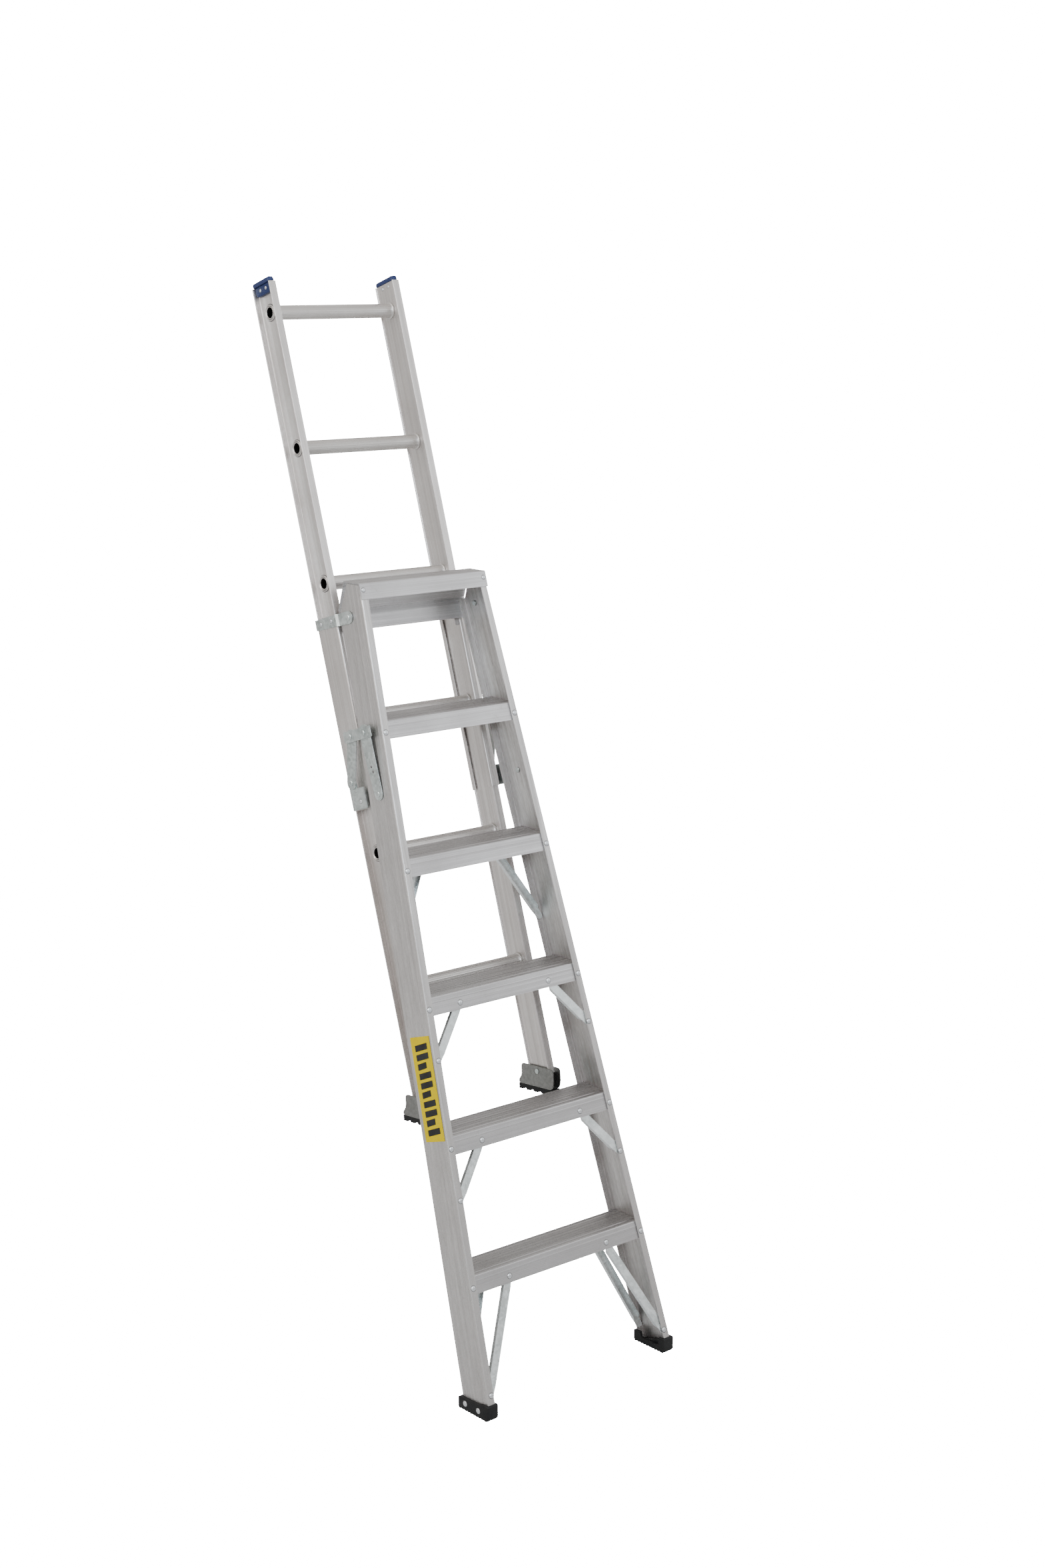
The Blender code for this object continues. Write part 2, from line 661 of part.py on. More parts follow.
def build_guides(frame):
    low = GUIDE_TOP - GUIDE_LENGTH
    pivot = in_hinge_frame(SPREADER_REAR_PIVOT)
    for name, side in SIDES:
        mesh = extruded(guide_outline(), (low, GUIDE_TOP), lambda x, y, z: (side * x, FLY_AXIS + y, z))
        make_piece(f"guide_{name}", mesh, "aluminium", frame)
        hinge_strap = make_piece(f"hinge_strap_{name}", strap(side), "zinc_steel", frame)
        cut = (STRAP_RAIL_LAYER - 0.002, STRAP_RAIL_LAYER + LINK_SHEET + 0.002)
        drill(hinge_strap, [(0.0, 0.0)], PIVOT_RADIUS + GAP, *cut, side)
        foot = make_piece(f"spreader_foot_{name}", spreader_foot(side), "zinc_steel", frame)
        combine(foot, foot_ear(side), "UNION")
        drill(foot, [pivot], PIVOT_RADIUS + GAP, FOOT_LAYER - 0.002, FOOT_LAYER + LINK_SHEET + 0.002, side)


# -------------------------------------------------------------------- spreader

def pivot_pin(inner, outer, side):
    """Rivet along x with a head past each of the two faces that it joins."""
    stations = ((inner - 0.0022, PIVOT_HEAD * 0.8), (inner - 0.0014, PIVOT_HEAD), (inner - GAP, PIVOT_HEAD),
                (inner - GAP, PIVOT_RADIUS), (outer + GAP, PIVOT_RADIUS), (outer + GAP, PIVOT_HEAD),
                (outer + 0.0012, PIVOT_HEAD), (outer + 0.0022, PIVOT_HEAD * 0.7))
    return turned([(side * x, radius) for x, radius in stations], closed=False)


def knee_rivet(inner, outer, side):
    """Rivet with one head outside and a flush inner end."""
    stations = ((inner, PIVOT_RADIUS), (outer + GAP, PIVOT_RADIUS), (outer + GAP, PIVOT_HEAD),
                (outer + 0.0012, PIVOT_HEAD), (outer + 0.0022, PIVOT_HEAD * 0.7))
    return turned([(side * x, radius) for x, radius in stations], closed=False)


def build_spreader(step_frame, guide_frame):
    """Folding stay on each side: front arm on the step rail, plate, and rear arm on the guide."""
    knee = relative(SPREADER_FRONT_KNEE, SPREADER_FRONT_PIVOT)
    rear_pivot = in_hinge_frame(SPREADER_REAR_PIVOT)
    rear_knee = relative(in_hinge_frame(SPREADER_REAR_KNEE), rear_pivot)
    plate_reach = relative(SPREADER_REAR_KNEE, SPREADER_FRONT_KNEE)
    hole = PIVOT_RADIUS + GAP
    for name, side in SIDES:
        front_outline = link_outline((0.0, 0.0), 0.0145, knee, 0.0185)
        arm = make_piece(f"spreader_front_arm_{name}",
                         side_plate(front_outline, FRONT_ARM_LAYER, LINK_SHEET, side), "zinc_steel",
                         step_frame, (0.0, *SPREADER_FRONT_PIVOT))
        cut = (FRONT_ARM_LAYER - 0.002, FRONT_ARM_LAYER + LINK_SHEET + 0.002)
        drill(arm, [(0.0, 0.0), knee], hole, *cut, side)

        rear_outline = link_outline((0.0, 0.0), 0.0155, rear_knee, 0.0165)
        make_piece(f"spreader_rear_arm_{name}",
                   side_plate(rear_outline, REAR_ARM_LAYER, LINK_SHEET, side), "zinc_steel",
                   guide_frame, (0.0, *rear_pivot))
        rear_arm = bpy.data.objects[f"spreader_rear_arm_{name}"]
        drill(rear_arm, [(0.0, 0.0)], hole, REAR_ARM_LAYER - 0.002, REAR_ARM_LAYER + LINK_SHEET + 0.002, side)

        corners = [(-0.0270, -0.0125), (plate_reach[0] + 0.0230, -0.0125),
                   (plate_reach[0] + 0.0230, 0.0125), (-0.0270, 0.0125)]
        plate = make_piece(f"spreader_plate_{name}",
                           side_plate(rounded(corners, 0.002, 2), PLATE_LAYER, LINK_SHEET, side),
                           "zinc_steel", step_frame, (0.0, *SPREADER_FRONT_KNEE))
        cut = (PLATE_LAYER - 0.002, PLATE_LAYER + LINK_SHEET + 0.002)
        drill(plate, [(0.0, 0.0), plate_reach], hole, *cut, side)

        outside = PLATE_LAYER + LINK_SHEET
        make_piece(f"front_knee_rivet_{name}", knee_rivet(FRONT_ARM_LAYER + 0.0002, outside, side),
                   "zinc_steel", step_frame, (0.0, *SPREADER_FRONT_KNEE), smooth=True)
        make_piece(f"rear_knee_rivet_{name}", knee_rivet(FRONT_ARM_LAYER + 0.0002, outside, side),
                   "zinc_steel", step_frame, (0.0, *SPREADER_REAR_KNEE), smooth=True)

        web = half_width(SPREADER_FRONT_PIVOT[1]) - RAIL_WEB_THICK - 0.0006
        make_piece(f"spreader_rail_pin_{name}", pivot_pin(web, FRONT_ARM_LAYER + LINK_SHEET, side),
                   "zinc_steel", step_frame, (0.0, *SPREADER_FRONT_PIVOT), smooth=True)
        make_piece(f"spreader_guide_pin_{name}", pivot_pin(FOOT_LAYER, REAR_ARM_LAYER + LINK_SHEET, side),
                   "zinc_steel", guide_frame, (0.0, *rear_pivot), smooth=True)
        web = half_width(HINGE[1]) - RAIL_WEB_THICK - 0.0006
        make_piece(f"hinge_pin_{name}", pivot_pin(web, STRAP_RAIL_LAYER + LINK_SHEET, side),
                   "zinc_steel", step_frame, (0.0, *HINGE), smooth=True)


# ----------------------------------------------------------------------- shoes

def shoe_side_outline():
    """Side of a shoe bracket, seen across the ladder, from its pivot."""
    corners = [(-SHOE_FRONT, -SHOE_FLOOR - SHOE_SHEET), (SHOE_BACK, -SHOE_FLOOR - SHOE_SHEET),
               (SHOE_BACK, -SHOE_FLOOR + 0.006), (0.0570, -0.0180), (0.0560, SHOE_TOP),
               (-0.0560, SHOE_TOP), (-0.0560, -0.0200)]
    return rounded(corners, 0.009)


def shoe_bracket(side):
    """Folded bracket: two sides and the floor between them."""
    outer = FLY_OUTER + GAP + SHOE_SHEET
    inner = FLY_INNER - GAP - SHOE_SHEET
    return side_plate(shoe_side_outline(), inner, outer - inner, side)


def shoe_inside(side):
    """Space between the bracket's sides, above its floor."""
    inner = FLY_INNER - GAP
    outer = FLY_OUTER + GAP
    corners = [(-0.080, -SHOE_FLOOR), (0.090, -SHOE_FLOOR), (0.090, 0.040), (-0.080, 0.040)]
    return side_plate(corners, inner, outer - inner, side)


def shoe_pad(side):
    """Rubber pad under the bracket, with grooves across its sole."""
    top = -SHOE_FLOOR - SHOE_SHEET - GAP
    bottom = top - SHOE_PAD_THICK
    points = [(SHOE_BACK, top), (-SHOE_FRONT, top), (-SHOE_FRONT, bottom)]
    tread = (SHOE_FRONT + SHOE_BACK) / (2 * SHOE_GROOVES + 1)
    for i in range(SHOE_GROOVES):
        start = -SHOE_FRONT + tread * (2 * i + 1)
        points += [(start, bottom), (start + tread * 0.2, bottom + SHOE_GROOVE_DEPTH),
                   (start + tread * 0.8, bottom + SHOE_GROOVE_DEPTH), (start + tread, bottom)]
    points.append((SHOE_BACK, bottom))
    inner = FLY_INNER - GAP - SHOE_SHEET
    outer = FLY_OUTER + GAP + SHOE_SHEET
    return side_plate(points, inner, outer - inner, side)


def build_shoes(fly_frame):
    y = FLY_AXIS + SHOE_BEHIND_AXIS
    z = FIRST_RUNG - SHOE_BELOW_RUNG
    for name, side in SIDES:
        frame = make_frame(f"shoe_frame_{name}", fly_frame, y, z, LEAN_FLY - SHOE_TILT)
        bracket = make_piece(f"shoe_bracket_{name}", shoe_bracket(side), "aluminium", frame)
        combine(bracket, shoe_inside(side), "DIFFERENCE")
        drill(bracket, [(0.0, 0.0)], PIVOT_RADIUS + GAP, FLY_INNER - 0.005, FLY_OUTER + 0.005, side)
        make_piece(f"shoe_pad_{name}", shoe_pad(side), "black_rubber", frame)
        pin = pivot_pin(FLY_INNER - GAP - SHOE_SHEET, FLY_OUTER + GAP + SHOE_SHEET, side)
        make_piece(f"shoe_pin_{name}", pin, "zinc_steel", fly_frame, (0.0, y, z), smooth=True)


# ------------------------------------------------------------------------ build

for item in list(bpy.data.objects):
    bpy.data.objects.remove(item, do_unlink=True)
MATERIALS = {name: make_material(name) for name in FINISHES}

STEP_FRAME = make_frame("step_section_frame", None, -frame_shift(), 0.0, -LEAN_STEP)
GUIDE_FRAME = make_frame("guide_frame", STEP_FRAME, *HINGE, LEAN_STEP - LEAN_FLY)
FLY_FRAME = make_frame("fly_section_frame", GUIDE_FRAME, 0.0, 0.0, 0.0)

build_step_section(STEP_FRAME)
build_guides(GUIDE_FRAME)
build_spreader(STEP_FRAME, GUIDE_FRAME)
build_fly_section(FLY_FRAME)
build_shoes(FLY_FRAME)
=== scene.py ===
import json
import math

import bmesh
import bpy
import numpy as np
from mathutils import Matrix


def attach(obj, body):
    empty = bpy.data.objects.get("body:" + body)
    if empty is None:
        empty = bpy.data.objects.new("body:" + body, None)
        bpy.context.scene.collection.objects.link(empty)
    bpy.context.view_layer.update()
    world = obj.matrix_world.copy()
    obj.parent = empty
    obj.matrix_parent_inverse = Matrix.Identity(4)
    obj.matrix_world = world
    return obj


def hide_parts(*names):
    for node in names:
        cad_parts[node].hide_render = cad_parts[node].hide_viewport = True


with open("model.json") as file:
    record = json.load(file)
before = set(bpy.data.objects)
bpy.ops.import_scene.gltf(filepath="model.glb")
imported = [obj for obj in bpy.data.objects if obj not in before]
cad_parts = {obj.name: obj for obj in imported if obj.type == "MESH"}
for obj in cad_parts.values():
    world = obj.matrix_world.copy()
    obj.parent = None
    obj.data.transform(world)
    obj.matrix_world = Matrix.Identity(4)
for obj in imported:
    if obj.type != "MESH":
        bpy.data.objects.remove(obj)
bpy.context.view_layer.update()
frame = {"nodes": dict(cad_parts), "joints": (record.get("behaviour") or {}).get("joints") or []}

joints = {joint["name"]: joint for joint in frame["joints"]}
nodes = frame["nodes"]
sides = (("left", -1.0), ("right", 1.0))

# The ladder's two sections. Each has its own frame: x across, depth from the climber's
# side to the back, height along the rails.
layout = {
    "leanStep": 17.7,            # degrees from the vertical
    "leanFly": 17.4,
    "hingeDepth": 0.0555,        # main hinge in the step section's frame
    "hingeHeight": 1.7770,
    "spacing": 0.3048,           # between steps and between rungs
}


def makeSection(lean, y, z, depth=0.0, height=0.0):
    # frame leaning back by an angle, whose given depth and height lie at y and z
    turn = math.radians(lean)
    sine, cosine = math.sin(turn), math.cos(turn)
    return {"lean": turn, "sine": sine, "cosine": cosine,
            "y": y - height * sine - depth * cosine, "z": z - height * cosine + depth * sine}


hingePlace = joints["guide_hinge"]["pos_m"]
stepSection = makeSection(layout["leanStep"], hingePlace[1], hingePlace[2],
                          layout["hingeDepth"], layout["hingeHeight"])
flySection = makeSection(layout["leanFly"], hingePlace[1], hingePlace[2])
levelSection = makeSection(0.0, stepSection["y"], 0.0)


def toWorld(section, x, depth, height):
    # turns section coordinates into metres in the room
    x, depth, height = np.broadcast_arrays(x, depth, height)
    y = section["y"] + height * section["sine"] + depth * section["cosine"]
    z = section["z"] + height * section["cosine"] - depth * section["sine"]
    return np.stack([x, y, z], axis=-1)


def levelHeight(section, depth, z):
    # height along the section of a point at a true height above the floor
    return (z - section["z"] + depth * section["sine"]) / section["cosine"]


cameraValues = {
    "place": (-3.2854, -4.1201, 2.4311),
    "turn": (75.213, 0.0, -40.364),    # degrees
    "lens": 55.164,
    "shiftUp": 0.0709,
}
cameraData = bpy.data.cameras.new("viewCamera")
cameraData.sensor_width = 36.0
cameraData.lens = cameraValues["lens"]
cameraData.shift_y = cameraValues["shiftUp"]
cameraData.clip_end = 60.0
camera = bpy.data.objects.new("viewCamera", cameraData)
camera.location = cameraValues["place"]
camera.rotation_euler = [math.radians(angle) for angle in cameraValues["turn"]]
bpy.context.collection.objects.link(camera)
bpy.context.scene.camera = camera
print("camera is set")


shapeValues = {
    "arcPoints": 6,              # along each rounded corner
    "sharp": 32,                 # faces that meet at more than this many degrees keep an edge
    "holeSides": 40,
    "domeSides": 20,
    "gap": 0.0003,               # clearance between pieces that lie on each other
}


def roundedPath(corners, radius, spacing, closed=False):
    # straight runs joined by arcs of a circle, both divided evenly
    corners = np.asarray(corners, float)
    count = len(corners)
    radii = np.broadcast_to(radius, count)
    arcs = []
    for i in (range(count) if closed else range(1, count - 1)):
        before = corners[i - 1] - corners[i]
        after = corners[(i + 1) % count] - corners[i]
        before, after = before / np.linalg.norm(before), after / np.linalg.norm(after)
        half = np.arccos(np.clip(before @ after, -1, 1)) / 2
        middle = before + after
        centre = corners[i] + middle / np.linalg.norm(middle) * radii[i] / np.sin(half)
        start = corners[i] + before * radii[i] / np.tan(half) - centre
        end = corners[i] + after * radii[i] / np.tan(half) - centre
        first = np.arctan2(start[1], start[0])
        sweep = (np.arctan2(end[1], end[0]) - first + np.pi) % (2 * np.pi) - np.pi
        angles = first + sweep * np.linspace(0, 1, shapeValues["arcPoints"])
        arcs.append(centre + radii[i] * np.stack([np.cos(angles), np.sin(angles)], axis=1))
    if not closed:
        arcs = [corners[:1]] + arcs + [corners[-1:]]
    points = []
    for i, arc in enumerate(arcs):
        points.append(arc)
        if closed or i + 1 < len(arcs):
            target = arcs[(i + 1) % len(arcs)][0]
            run = np.linalg.norm(target - arc[-1])
            steps = max(int(round(run / spacing)), 1)
            points.append(arc[-1] + (target - arc[-1]) * (np.arange(1, steps) / steps)[:, None])
    return np.concatenate(points)


def pathNormals(path):
    # unit vectors to the right of an open path
    along = np.gradient(path, axis=0)
    along /= np.linalg.norm(along, axis=1)[:, None]
    return np.stack([along[:, 1], -along[:, 0]], axis=1)


def sheetProfile(path, thickness, relief=None, bothSides=True):
    # bent sheet: the path, moved out by the relief, then the same path one thickness to its right
    normals = pathNormals(path)
    raised = path if relief is None else path - normals * relief[:, None]
    base = raised if bothSides else path
    return np.concatenate([raised, (base + normals * thickness)[::-1]])


def bump(position, centre, width):
    # smooth ridge: raised cosine around a centre
    away = np.clip(np.abs(position - centre) / (width / 2), 0, 1)
    return (1 + np.cos(np.pi * away)) / 2


def ridgeRow(position, centres, width, height):
    # sum of equal smooth ridges
    return sum(bump(position, centre, width) for centre in centres) * height


def sweptFaces(stations, count, caps):
    # quads between neighbouring rings, and ends closed as one face or as a strip of pairs
    ids = np.arange(stations * count).reshape(stations, count)
    turned = np.roll(ids, -1, axis=1)
    faces = np.stack([ids[:-1], turned[:-1], turned[1:], ids[1:]], axis=-1).reshape(-1, 4).tolist()
    if caps == "pairs":
        outer = np.arange(count // 2)
        inner = count - 1 - outer
        for end in (0, -1):
            strip = [ids[end][outer[:-1]], ids[end][outer[1:]], ids[end][inner[1:]], ids[end][inner[:-1]]]
            faces += np.stack(strip, axis=-1).tolist()
    elif caps == "plain":
        faces += [ids[0].tolist(), ids[-1].tolist()]
    elif caps == "ring":
        last = np.stack([ids[-1], turned[-1], turned[0], ids[0]], axis=-1)
        faces += last.tolist()
    return faces


def finishMesh(name, points, faces, sharp=shapeValues["sharp"]):
    # mesh object with outward faces, smooth apart from edges sharper than the angle
    mesh = bpy.data.meshes.new(name)
    mesh.from_pydata(np.asarray(points, float).reshape(-1, 3).tolist(), [], faces)
    shell = bmesh.new()
    shell.from_mesh(mesh)
    bmesh.ops.recalc_face_normals(shell, faces=shell.faces)
    shell.to_mesh(mesh)
    shell.free()
    mesh.shade_smooth()
    mesh.set_sharp_from_angle(angle=math.radians(sharp))
    piece = bpy.data.objects.new(name, mesh)
    bpy.context.collection.objects.link(piece)
    return piece


def sweptPiece(name, rings, caps="plain", sharp=shapeValues["sharp"]):
    # solid through rings of points, given as stations by points by xyz
    stations, count = rings.shape[:2]
    return finishMesh(name, rings, sweptFaces(stations, count, caps), sharp)


def joinedPiece(name, ringSets):
    # several swept solids in one mesh
    points, faces, offset = [], [], 0
    for rings in ringSets:
        stations, count = rings.shape[:2]
        points.append(rings.reshape(-1, 3))
        faces += [[i + offset for i in face] for face in sweptFaces(stations, count, "plain")]
        offset += stations * count
    return finishMesh(name, np.concatenate(points), faces)


def plateRings(outline, section, side, inner, thickness, edge):
    # flat plate across the ladder with softened edges: outline in depth and height
    normals = pathNormals(np.concatenate([outline[-1:], outline, outline[:1]]))[1:-1]
    area = np.sum(outline[:, 0] * np.roll(outline[:, 1], -1) - np.roll(outline[:, 0], -1) * outline[:, 1])
    inward = -normals * np.sign(area)
    steps = ((0.0, 1.0), (0.3, 0.3), (1.0, 0.0))
    layers = [(inner + edge * share, inset) for share, inset in steps]
    layers += [(inner + thickness - edge * share, inset) for share, inset in reversed(steps)]
    rings = []
    for x, inset in layers:
        ring = outline + inward * edge * inset
        rings.append(toWorld(section, side * x, ring[:, 0], ring[:, 1]))
    return np.array(rings)


def cutAway(piece, cutter):
    # takes the cutter's volume out of the piece and leaves a plain mesh
    boolean = piece.modifiers.new("cut", "BOOLEAN")
    boolean.operation = "DIFFERENCE"
    boolean.solver = "EXACT"
    boolean.object = cutter
    depsgraph = bpy.context.evaluated_depsgraph_get()
    finished = bpy.data.meshes.new_from_object(piece.evaluated_get(depsgraph))
    piece.modifiers.clear()
    old = piece.data
    piece.data = finished
    bpy.data.meshes.remove(old)
    bpy.data.objects.remove(cutter)
    finished.shade_smooth()
    finished.set_sharp_from_angle(angle=math.radians(shapeValues["sharp"]))
    finished.name = piece.name


def roundHoles(section, centres, radius, low, high, side):
    # cutters: straight pins across the ladder
    angles = np.linspace(0, 2 * np.pi, shapeValues["holeSides"], endpoint=False)
    sets = []
    for depth, height in centres:
        sets.append(np.array([toWorld(section, side * x, depth + radius * np.cos(angles),
                                      height + radius * np.sin(angles)) for x in (low, high)]))
    return joinedPiece("holeCutter", sets)


domeValues = {
    "buried": 0.0006,
    "profile": ((1.16, 0.06), (1.02, 0.07), (1.0, 0.18), (0.93, 0.46), (0.76, 0.76), (0.5, 0.94),
                (0.22, 1.0)),    # shares of the radius and of the height, rim first
}


def domeRings(centres, normals, radius, height):
    # rivet heads: flattened domes turned about each normal
    centres, normals = np.asarray(centres, float), np.asarray(normals, float)
    helper = np.where(np.abs(normals[:, :1]) > 0.9, [[0.0, 1.0, 0.0]], [[1.0, 0.0, 0.0]])
    across = np.cross(normals, helper)
    across /= np.linalg.norm(across, axis=1)[:, None]
    upward = np.cross(normals, across)
    rim = (domeValues["profile"][0][0], -domeValues["buried"] / height)
    profile = np.array([rim, *domeValues["profile"]])
    angles = np.linspace(0, 2 * np.pi, shapeValues["domeSides"], endpoint=False)
    spokes = (across[:, None, :] * np.cos(angles)[None, :, None]
              + upward[:, None, :] * np.sin(angles)[None, :, None])
    return [np.array([centre + spoke * radius * wide + normal * height * high for wide, high in profile])
            for centre, spoke, normal in zip(centres, spokes, normals)]


def newNode(tree, kind, **values):
    # node whose properties and inputs are set by name, where an output socket as value is linked
    node = tree.nodes.new(kind)
    for key, value in values.items():
        if key in node.bl_rna.properties:
            setattr(node, key, value)
        elif isinstance(value, bpy.types.NodeSocket):
            tree.links.new(value, node.inputs[key.replace("_", " ")])
        else:
            node.inputs[key.replace("_", " ")].default_value = value
    return node


def makeGroup(name, inputs, outputs, build):
    # shader group with named sockets, filled by a build function
    group = bpy.data.node_groups.new(name, "ShaderNodeTree")
    for label, kind, value in inputs:
        socket = group.interface.new_socket(name=label, in_out="INPUT", socket_type=kind)
        if value is not None:
            socket.default_value = value
    for label, kind in outputs:
        group.interface.new_socket(name=label, in_out="OUTPUT", socket_type=kind)
    build(group, group.nodes.new("NodeGroupInput"), group.nodes.new("NodeGroupOutput"))
    return group


grainValues = {
    "fine": (900.0, 3.0),        # noise scale across and along the drawn direction
    "broad": (110.0, 1.2),
    "fineShare": 0.6,
    "broadShare": 0.4,
    "cloud": 0.30,               # share of the soiled colour in handling marks and in scuffs
    "scuff": 0.45,
    "distance": 0.0004,
}


def buildGrain(group, given, result):
    # two stretched noises along a direction: fine drawn lines, and broad bands
    link = group.links.new
    noises = []
    for label, detail, roughness in (("Fine Scale", 4.0, 0.65), ("Broad Scale", 2.0, 0.5)):
        stretched = newNode(group, "ShaderNodeVectorMath", operation="MULTIPLY")
        link(given.outputs["Vector"], stretched.inputs[0])
        link(given.outputs[label], stretched.inputs[1])
        noise = newNode(group, "ShaderNodeTexNoise", Vector=stretched.outputs[0], Scale=1.0,
                        Detail=detail, Roughness=roughness)
        noises.append(noise.outputs["Fac"])
    fine, broad = noises
    mixed = newNode(group, "ShaderNodeMath", operation="MULTIPLY_ADD")
    link(fine, mixed.inputs[0])
    mixed.inputs[1].default_value = grainValues["fineShare"]
    rest = newNode(group, "ShaderNodeMath", operation="MULTIPLY")
    link(broad, rest.inputs[0])
    rest.inputs[1].default_value = grainValues["broadShare"]
    link(rest.outputs[0], mixed.inputs[2])
    link(fine, result.inputs["Lines"])
    link(mixed.outputs[0], result.inputs["Grain"])


def buildSmudge(group, given, result):
    # soft clouds of handling marks, and a few short dark scuffs
    vector, scale = given.outputs["Vector"], given.outputs["Scale"]
    clouds = newNode(group, "ShaderNodeTexNoise", Vector=vector, Scale=scale, Detail=3.0, Roughness=0.55)
    cloud = newNode(group, "ShaderNodeMapRange", Value=clouds.outputs["Fac"], From_Min=0.38, From_Max=0.68)
    tight = newNode(group, "ShaderNodeMath", operation="MULTIPLY")
    group.links.new(scale, tight.inputs[0])
    tight.inputs[1].default_value = 6.0
    spots = newNode(group, "ShaderNodeTexNoise", Vector=vector, Scale=tight.outputs[0], Detail=5.0,
                    Roughness=0.75)
    scuff = newNode(group, "ShaderNodeMapRange", Value=spots.outputs["Fac"], From_Min=0.62, From_Max=0.74)
    group.links.new(cloud.outputs[0], result.inputs["Cloud"])
    group.links.new(scuff.outputs[0], result.inputs["Scuff"])


grainGroup = makeGroup("drawnGrain",
                       (("Vector", "NodeSocketVector", None), ("Fine Scale", "NodeSocketVector", (1, 1, 1)),
                        ("Broad Scale", "NodeSocketVector", (1, 1, 1))),
                       (("Lines", "NodeSocketFloat"), ("Grain", "NodeSocketFloat")), buildGrain)
smudgeGroup = makeGroup("handlingMarks",
                        (("Vector", "NodeSocketVector", None), ("Scale", "NodeSocketFloat", 6.0)),
                        (("Cloud", "NodeSocketFloat"), ("Scuff", "NodeSocketFloat")), buildSmudge)


def startMaterial(name, lean):
    # material with object coordinates leaned back so that z runs along the rails
    material = bpy.data.materials.new(name)
    material.use_nodes = True
    tree = material.node_tree
    coordinates = newNode(tree, "ShaderNodeTexCoord").outputs["Object"]
    mapping = newNode(tree, "ShaderNodeMapping", Vector=coordinates, Rotation=(lean, 0.0, 0.0))
    return material, tree, tree.nodes["Principled BSDF"], mapping.outputs["Vector"]


def mixColour(tree, factor, first, second):
    # first colour x (1 - factor) + second colour x factor, each a value or a socket
    mix = newNode(tree, "ShaderNodeMix", data_type="RGBA")
    colours = [socket for socket in mix.inputs if socket.type == "RGBA"]
    for socket, value in zip(colours, (first, second)):
        if isinstance(value, tuple):
            socket.default_value = (*value, 1.0)
        else:
            tree.links.new(value, socket)
    tree.links.new(factor, mix.inputs["Factor"])
    return next(socket for socket in mix.outputs if socket.type == "RGBA")


def addBump(tree, shader, height, strength, distance):
    # tilts the shading normal by the slope of a height
    relief = newNode(tree, "ShaderNodeBump", Height=height, Strength=strength, Distance=distance)
    tree.links.new(relief.outputs["Normal"], shader.inputs["Normal"])


def rangeOf(tree, value, low, high):
    # low + (high - low) x value
    return newNode(tree, "ShaderNodeMapRange", Value=value, To_Min=low, To_Max=high).outputs[0]


def addMarks(tree, vector, scale):
    # handling marks at a scale, with sockets for their clouds and their scuffs
    marks = newNode(tree, "ShaderNodeGroup", node_tree=smudgeGroup, Vector=vector, Scale=scale)
    return marks.outputs


metalLooks = {
    # name: lean, drawn direction, dark, light, soiled and shaded, roughness, bump
    "railAluminium": (stepSection["lean"], "z", (0.43, 0.418, 0.408), (0.74, 0.725, 0.712),
                      (0.38, 0.36, 0.345), (0.34, 0.52), 0.20),
    # brighter copy of the rail aluminium: painted light on the fly section and the guides
    "flyAluminium": (flySection["lean"], "z", (0.56, 0.538, 0.52), (0.88, 0.85, 0.825),
                     (0.46, 0.425, 0.40), (0.34, 0.50), 0.18),
    "crossAluminium": (0.0, "x", (0.43, 0.422, 0.42), (0.66, 0.655, 0.66),
                       (0.33, 0.315, 0.31), (0.34, 0.50), 0.20),
    # darker copy of the cross aluminium for the upward tread faces: painted shade
    "treadAluminium": (0.0, "x", (0.30, 0.29, 0.285), (0.54, 0.53, 0.525),
                       (0.22, 0.205, 0.195), (0.38, 0.56), 0.30),
    "rungAluminium": (0.0, "x", (0.50, 0.485, 0.465), (0.72, 0.70, 0.68),
                      (0.42, 0.39, 0.36), (0.34, 0.48), 0.14),
    "rivetAluminium": (0.0, "x", (0.62, 0.64, 0.66), (0.76, 0.78, 0.80), (0.5, 0.5, 0.5),
                       (0.30, 0.42), 0.05),
    # painted shade: thin dark rings round rivet heads and rung lips, and small rivet heads and dimples drawn
    # dark
    "grimyAluminium": (0.0, "x", (0.16, 0.155, 0.15), (0.24, 0.235, 0.23), (0.12, 0.115, 0.11),
                       (0.50, 0.62), 0.05),
    "wornSteel": (0.0, "x", (0.20, 0.205, 0.195), (0.34, 0.345, 0.33), (0.13, 0.125, 0.115),
                  (0.38, 0.52), 0.10),
    "boreShade": (0.0, "x", (0.012, 0.012, 0.012), (0.03, 0.03, 0.03), (0.01, 0.01, 0.01),
                  (0.55, 0.65), 0.05),
}


floorShadeValues = {"height": 1.2, "amount": 0.42}      # painted shade: darkest at the floor, gone at this height in metres


def grainScale(scales, direction):
    # noise scale across the drawn direction on two axes, and along it on the third
    across, along = scales
    return (along, across, across) if direction == "x" else (across, across, along)


